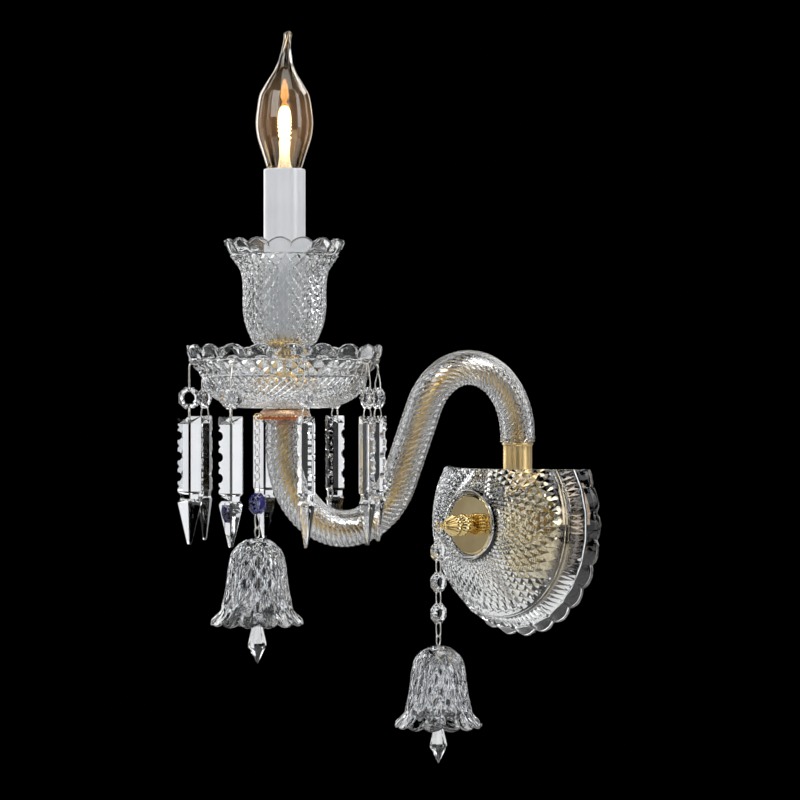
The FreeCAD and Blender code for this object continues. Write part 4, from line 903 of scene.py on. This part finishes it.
def bell(name):
    """Cut glass bell: a smooth crown, large diamonds that end in a zigzag, a scalloped skirt."""
    spot = middle_of(name + "_bell")
    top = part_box(name + "_bell")[1].z / MM
    shape = Turned(112)
    shape.plain([(1.0, 0.0), (1.0, -3.4), (7.6, -5.4), (12.2, -10.2), (14.6, -20.0),
                 (16.0, -29.0), (17.7, -39.6), (20.4, -45.5)], 22)
    lobes = scallop(shape.angle, 14, 2.2)
    for share in (0.35, 0.7):
        shape.row(20.8 + 4.2 * share, -46.4 - 4.8 * share, rise=-lobes * share)
    for inset, level in ((2.3, -51.4), (1.7, -51.9), (0.9, -52.0), (0.3, -51.8), (0.0, -51.2)):
        shape.row(28.0 - inset, level, rise=-lobes)
    petal = 0.5 * (np.abs(np.cos(14 * shape.angle)) - 1)
    for share in (0.85, 0.65, 0.45, 0.25, 0.1):
        shape.row(21.6 + 6.3 * share ** 1.4, -41.6 - 9.2 * share, rise=-lobes * share,
                  lift=petal * math.sin(math.pi * share))
    shape.diamonds([(21.4, -40.2), (19.6, -33.0), (18.4, -25.0), (17.2, -15.6), (15.4, -8.4),
                    (12.0, -4.4)], 14, 0.75, stretch=1.65, top=0.8)
    shape.plain([(11.2, -3.4), (9.0, -1.7), (6.2, -0.3), (4.6, 0.0), (1.1, 0.0)], 10)
    dressed(name + "_bell_glass", shape.mesh(name + "_bell_glass", (spot[0], spot[1], top)),
            name + "_bell", "cut_glass", name + "_bell", finish="bell_glass")
    x, y = spot[0], spot[1]
    hook_top, hook, clasp, overlap = top + 7.0, 6.6, 5.52, 0.95
    clapper_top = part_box(name + "_clapper")[1].z / MM
    hang = clapper_top - PIN_HOLE
    paths = [link_path((x, y, hook_top - overlap + LINK)),
             oval_path((x, y, hook_top), hook, 3.0, math.pi / 2),
             ([(x, y, hook_top - hook), (x, y, (hook_top + hang) / 2), (x, y, hang + hook)],
              False),
             link_path((x, y, hang + hook), hook, clasp)]
    stop = [(x + 1.7 * math.cos(t), y + 1.7 * math.sin(t), top - 4.2)
            for t in TAU * np.arange(8) / 8]
    mesh = wires(name + "_wire_set", paths + [(stop, True)])
    dressed(name + "_wire_set", mesh, name + "_bell_wire", "gold_wire", name + "_bell_wire")
    sides = 12
    angle = TAU * np.arange(sides) / sides
    facets = np.where(np.arange(sides) % 2 == 0, 1.0, 0.9)
    rings = []
    for radius, level in ((0.3, -36.0), (5.75, -25.2), (4.6, -20.0), (3.1, -13.7), (2.9, -8.0),
                          (2.3, -5.0), (2.3, -1.0), (1.6, 0.0)):
        rings.append(np.stack([radius * facets * np.cos(angle),
                               radius * facets * np.sin(angle), np.full(sides, level)], 1))
    mesh = drilled(solid_mesh("drop", rings, through=False), ((0, -PIN_HOLE),), WIRE_HOLE, 10)
    dressed(name + "_drop", moved(shaded(mesh, False), (x, y, clapper_top)), name + "_clapper",
            "bead_glass", name + "_clapper")


def chains():
    """The fine chain of the front bell and the ring links between the rear beads."""
    wire_radius, link_length, overlap = 0.4, 5.45, 0.95
    x, y = 0.0, middle_of("front_chain")[1]
    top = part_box("front_chain")[1].z / MM - wire_radius
    paths = []
    for number in range(8):
        paths.append(oval_path((x, y, top), link_length, 3.0,
                               0.0 if number % 2 == 0 else math.pi / 2))
        top -= link_length - overlap
    paths.append(link_path((x, y, top)))
    dressed("fine_chain", wires("fine_chain", paths, 0.38), "front_chain", "gold_wire",
            "front_chain")
    shape = bead_mesh()
    for node in ("front_chain_bead", "rear_bead_1", "rear_bead_2", "rear_bead_3"):
        dressed(node + "_crystal", moved(shape, middle_of(node)), node, "bead_glass", node,
                finish="violet_glass" if node == "front_chain_bead" else None)
    for number in (1, 2, 3):
        node = f"rear_link_{number}"
        spot = (0.0, middle_of(node)[1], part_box(node)[1].z / MM - wire_radius)
        dressed(node + "_wire", wires(node + "_wire", [link_path(spot)]), node, "gold_wire", node)


half_bowl()
rosette()
finial()
arm()
arm_tube()
post()
cap()
tray()
cup()
spacer_and_seat()
candle()
bulb()
bulb_thread()
pendants()
bell("front")
bell("rear")
chains()

# The solids that stay as they are, mostly behind or inside the glass.
# the back pan's finish carries a painted shade on its outer wall
for node, finish in (("wall_bracket", "steel"), ("back_pan", "pale_gold"), ("centre_rod", "steel"),
                     ("fasteners", "steel"), ("lampholder", "holder_plastic"),
                     ("lamp_contacts", "contact_brass")):
    kept = frame["nodes"][node].data
    kept.materials.clear()
    kept.materials.append(MATERIALS[finish])
    kept.polygons.foreach_set("material_index", [0] * len(kept.polygons))


# --------------------------------------------------- floor, light and camera
def floor():
    """A pale round floor well below the bells, with a fine plaster grain."""
    shape = bmesh.new()
    bmesh.ops.create_circle(shape, cap_ends=True, segments=96, radius=1.15,
                            matrix=Matrix.Translation((0, -0.15, -0.42)))
    mesh = built("floor", shape)
    plaster = Finish("floor_plaster")
    plaster.colour(plaster.noise(6.0, 5.0), (0.70, 0.70, 0.69), (0.76, 0.76, 0.75))
    plaster.roughness(plaster.noise(40.0, 3.0), 0.6, 0.75)
    plaster.bump(plaster.noise(300.0, 3.0), 0.05, 0.0005)
    mesh.materials.append(plaster.made)
    placed("floor", mesh)


def softbox(name, azimuth, elevation, distance, width, height, power, through_glass=True):
    """A soft panel aimed at the middle of the sconce; azimuth 0 stands in front of it. One that
    would fill the clear bulb from the side isn't seen through glass."""
    data = bpy.data.lights.new(name, "AREA")
    data.shape = "RECTANGLE"
    data.size = width
    data.size_y = height
    data.energy = power
    item = placed(name, data)
    turn, rise = math.radians(azimuth), math.radians(elevation)
    aim = Vector((0, -0.13, 0.08))
    back = Vector((math.sin(turn) * math.cos(rise), -math.cos(turn) * math.cos(rise),
                   math.sin(rise)))
    item.location = aim + back * distance
    item.rotation_mode = "QUATERNION"
    item.rotation_quaternion = (-back).to_track_quat("-Z", "Y")
    item.visible_camera = False
    item.visible_transmission = through_glass


def world():
    """Black behind the object, as in the photograph; glass and metal also see soft panels that
    stand round it above and below the horizon."""
    made = bpy.data.worlds.new("studio")
    bpy.context.scene.world = made
    made.use_nodes = True
    nodes, links = made.node_tree.nodes, made.node_tree.links
    out = nodes["World Output"]
    dark = nodes["Background"]
    dark.inputs["Color"].default_value = (0.0, 0.0, 0.0, 1)
    dark.inputs["Strength"].default_value = 0.0
    panels = nodes.new("ShaderNodeBackground")
    place = nodes.new("ShaderNodeTexCoord").outputs["Generated"]
    split = nodes.new("ShaderNodeSeparateXYZ")
    links.new(place, split.inputs["Vector"])

    def math_node(operation, a, b=None):
        node = nodes.new("ShaderNodeMath")
        node.operation = operation
        for socket, value in zip(node.inputs, (a, b)):
            if isinstance(value, (int, float)):
                socket.default_value = value
            elif value is not None:
                links.new(value, socket)
        return node.outputs[0]

    def between(low, high):
        return math_node("MULTIPLY", math_node("GREATER_THAN", split.outputs["Z"], low),
                         math_node("LESS_THAN", split.outputs["Z"], high))

    # Eight tall strips near the horizon, eight narrow ones above them, a panel overhead and
    # three low ones; the numbers are heights on a unit sphere.
    around = math_node("ARCTAN2", split.outputs["Y"], split.outputs["X"])
    eight = math_node("COSINE", math_node("MULTIPLY", around, 8.0))
    tall = math_node("MULTIPLY", math_node("LESS_THAN", eight, -0.35), between(-0.25, 0.16))
    tall = math_node("MULTIPLY", tall, 0.5)
    band = math_node("MULTIPLY", math_node("LESS_THAN", eight, -0.75), between(0.16, 0.80))
    crown = math_node("GREATER_THAN", split.outputs["Z"], 0.96)
    under = math_node("MULTIPLY", between(-0.65, -0.35),
                      math_node("GREATER_THAN", math_node("SINE", math_node(
                          "MULTIPLY", around, 3.0)), 0.6))
    total = math_node("ADD", math_node("ADD", math_node("ADD", band, tall), crown),
                      math_node("MULTIPLY", under, 0.6))
    strength = math_node("MULTIPLY", total, 1.8)
    links.new(strength, panels.inputs["Strength"])
    panels.inputs["Color"].default_value = (0.97, 0.985, 1.0, 1)
    path = nodes.new("ShaderNodeLightPath")
    mix = nodes.new("ShaderNodeMixShader")
    links.new(path.outputs["Is Camera Ray"], mix.inputs[0])
    links.new(panels.outputs[0], mix.inputs[1])
    links.new(dark.outputs[0], mix.inputs[2])
    links.new(mix.outputs[0], out.inputs["Surface"])


def camera():
    """The photograph's view: level with the tray, 47 degrees round from the front."""
    data = bpy.data.cameras.new("camera")
    data.sensor_width = 36.0
    data.lens = 115.5
    data.clip_end = 20.0
    item = placed("camera", data)
    item.location = (1.1900, -1.2296, 0.081)
    item.rotation_mode = "QUATERNION"
    item.rotation_quaternion = Vector((-0.7314, 0.6820, 0.0)).to_track_quat("-Z", "Y")
    bpy.context.scene.camera = item


floor()
softbox("key", 5, 35, 1.5, 0.7, 0.9, 8)
softbox("side", 110, 20, 1.6, 0.5, 1.1, 7, through_glass=False)
softbox("back_left", 270, 15, 1.6, 0.5, 1.1, 7, through_glass=False)
softbox("back", 170, 40, 1.7, 0.9, 0.6, 8)
softbox("top", 60, 80, 1.4, 0.9, 0.9, 6)
softbox("mirror", -47, -6, 1.2, 0.5, 0.5, 0.3)
world()
camera()
bpy.context.scene.view_settings.view_transform = "Standard"
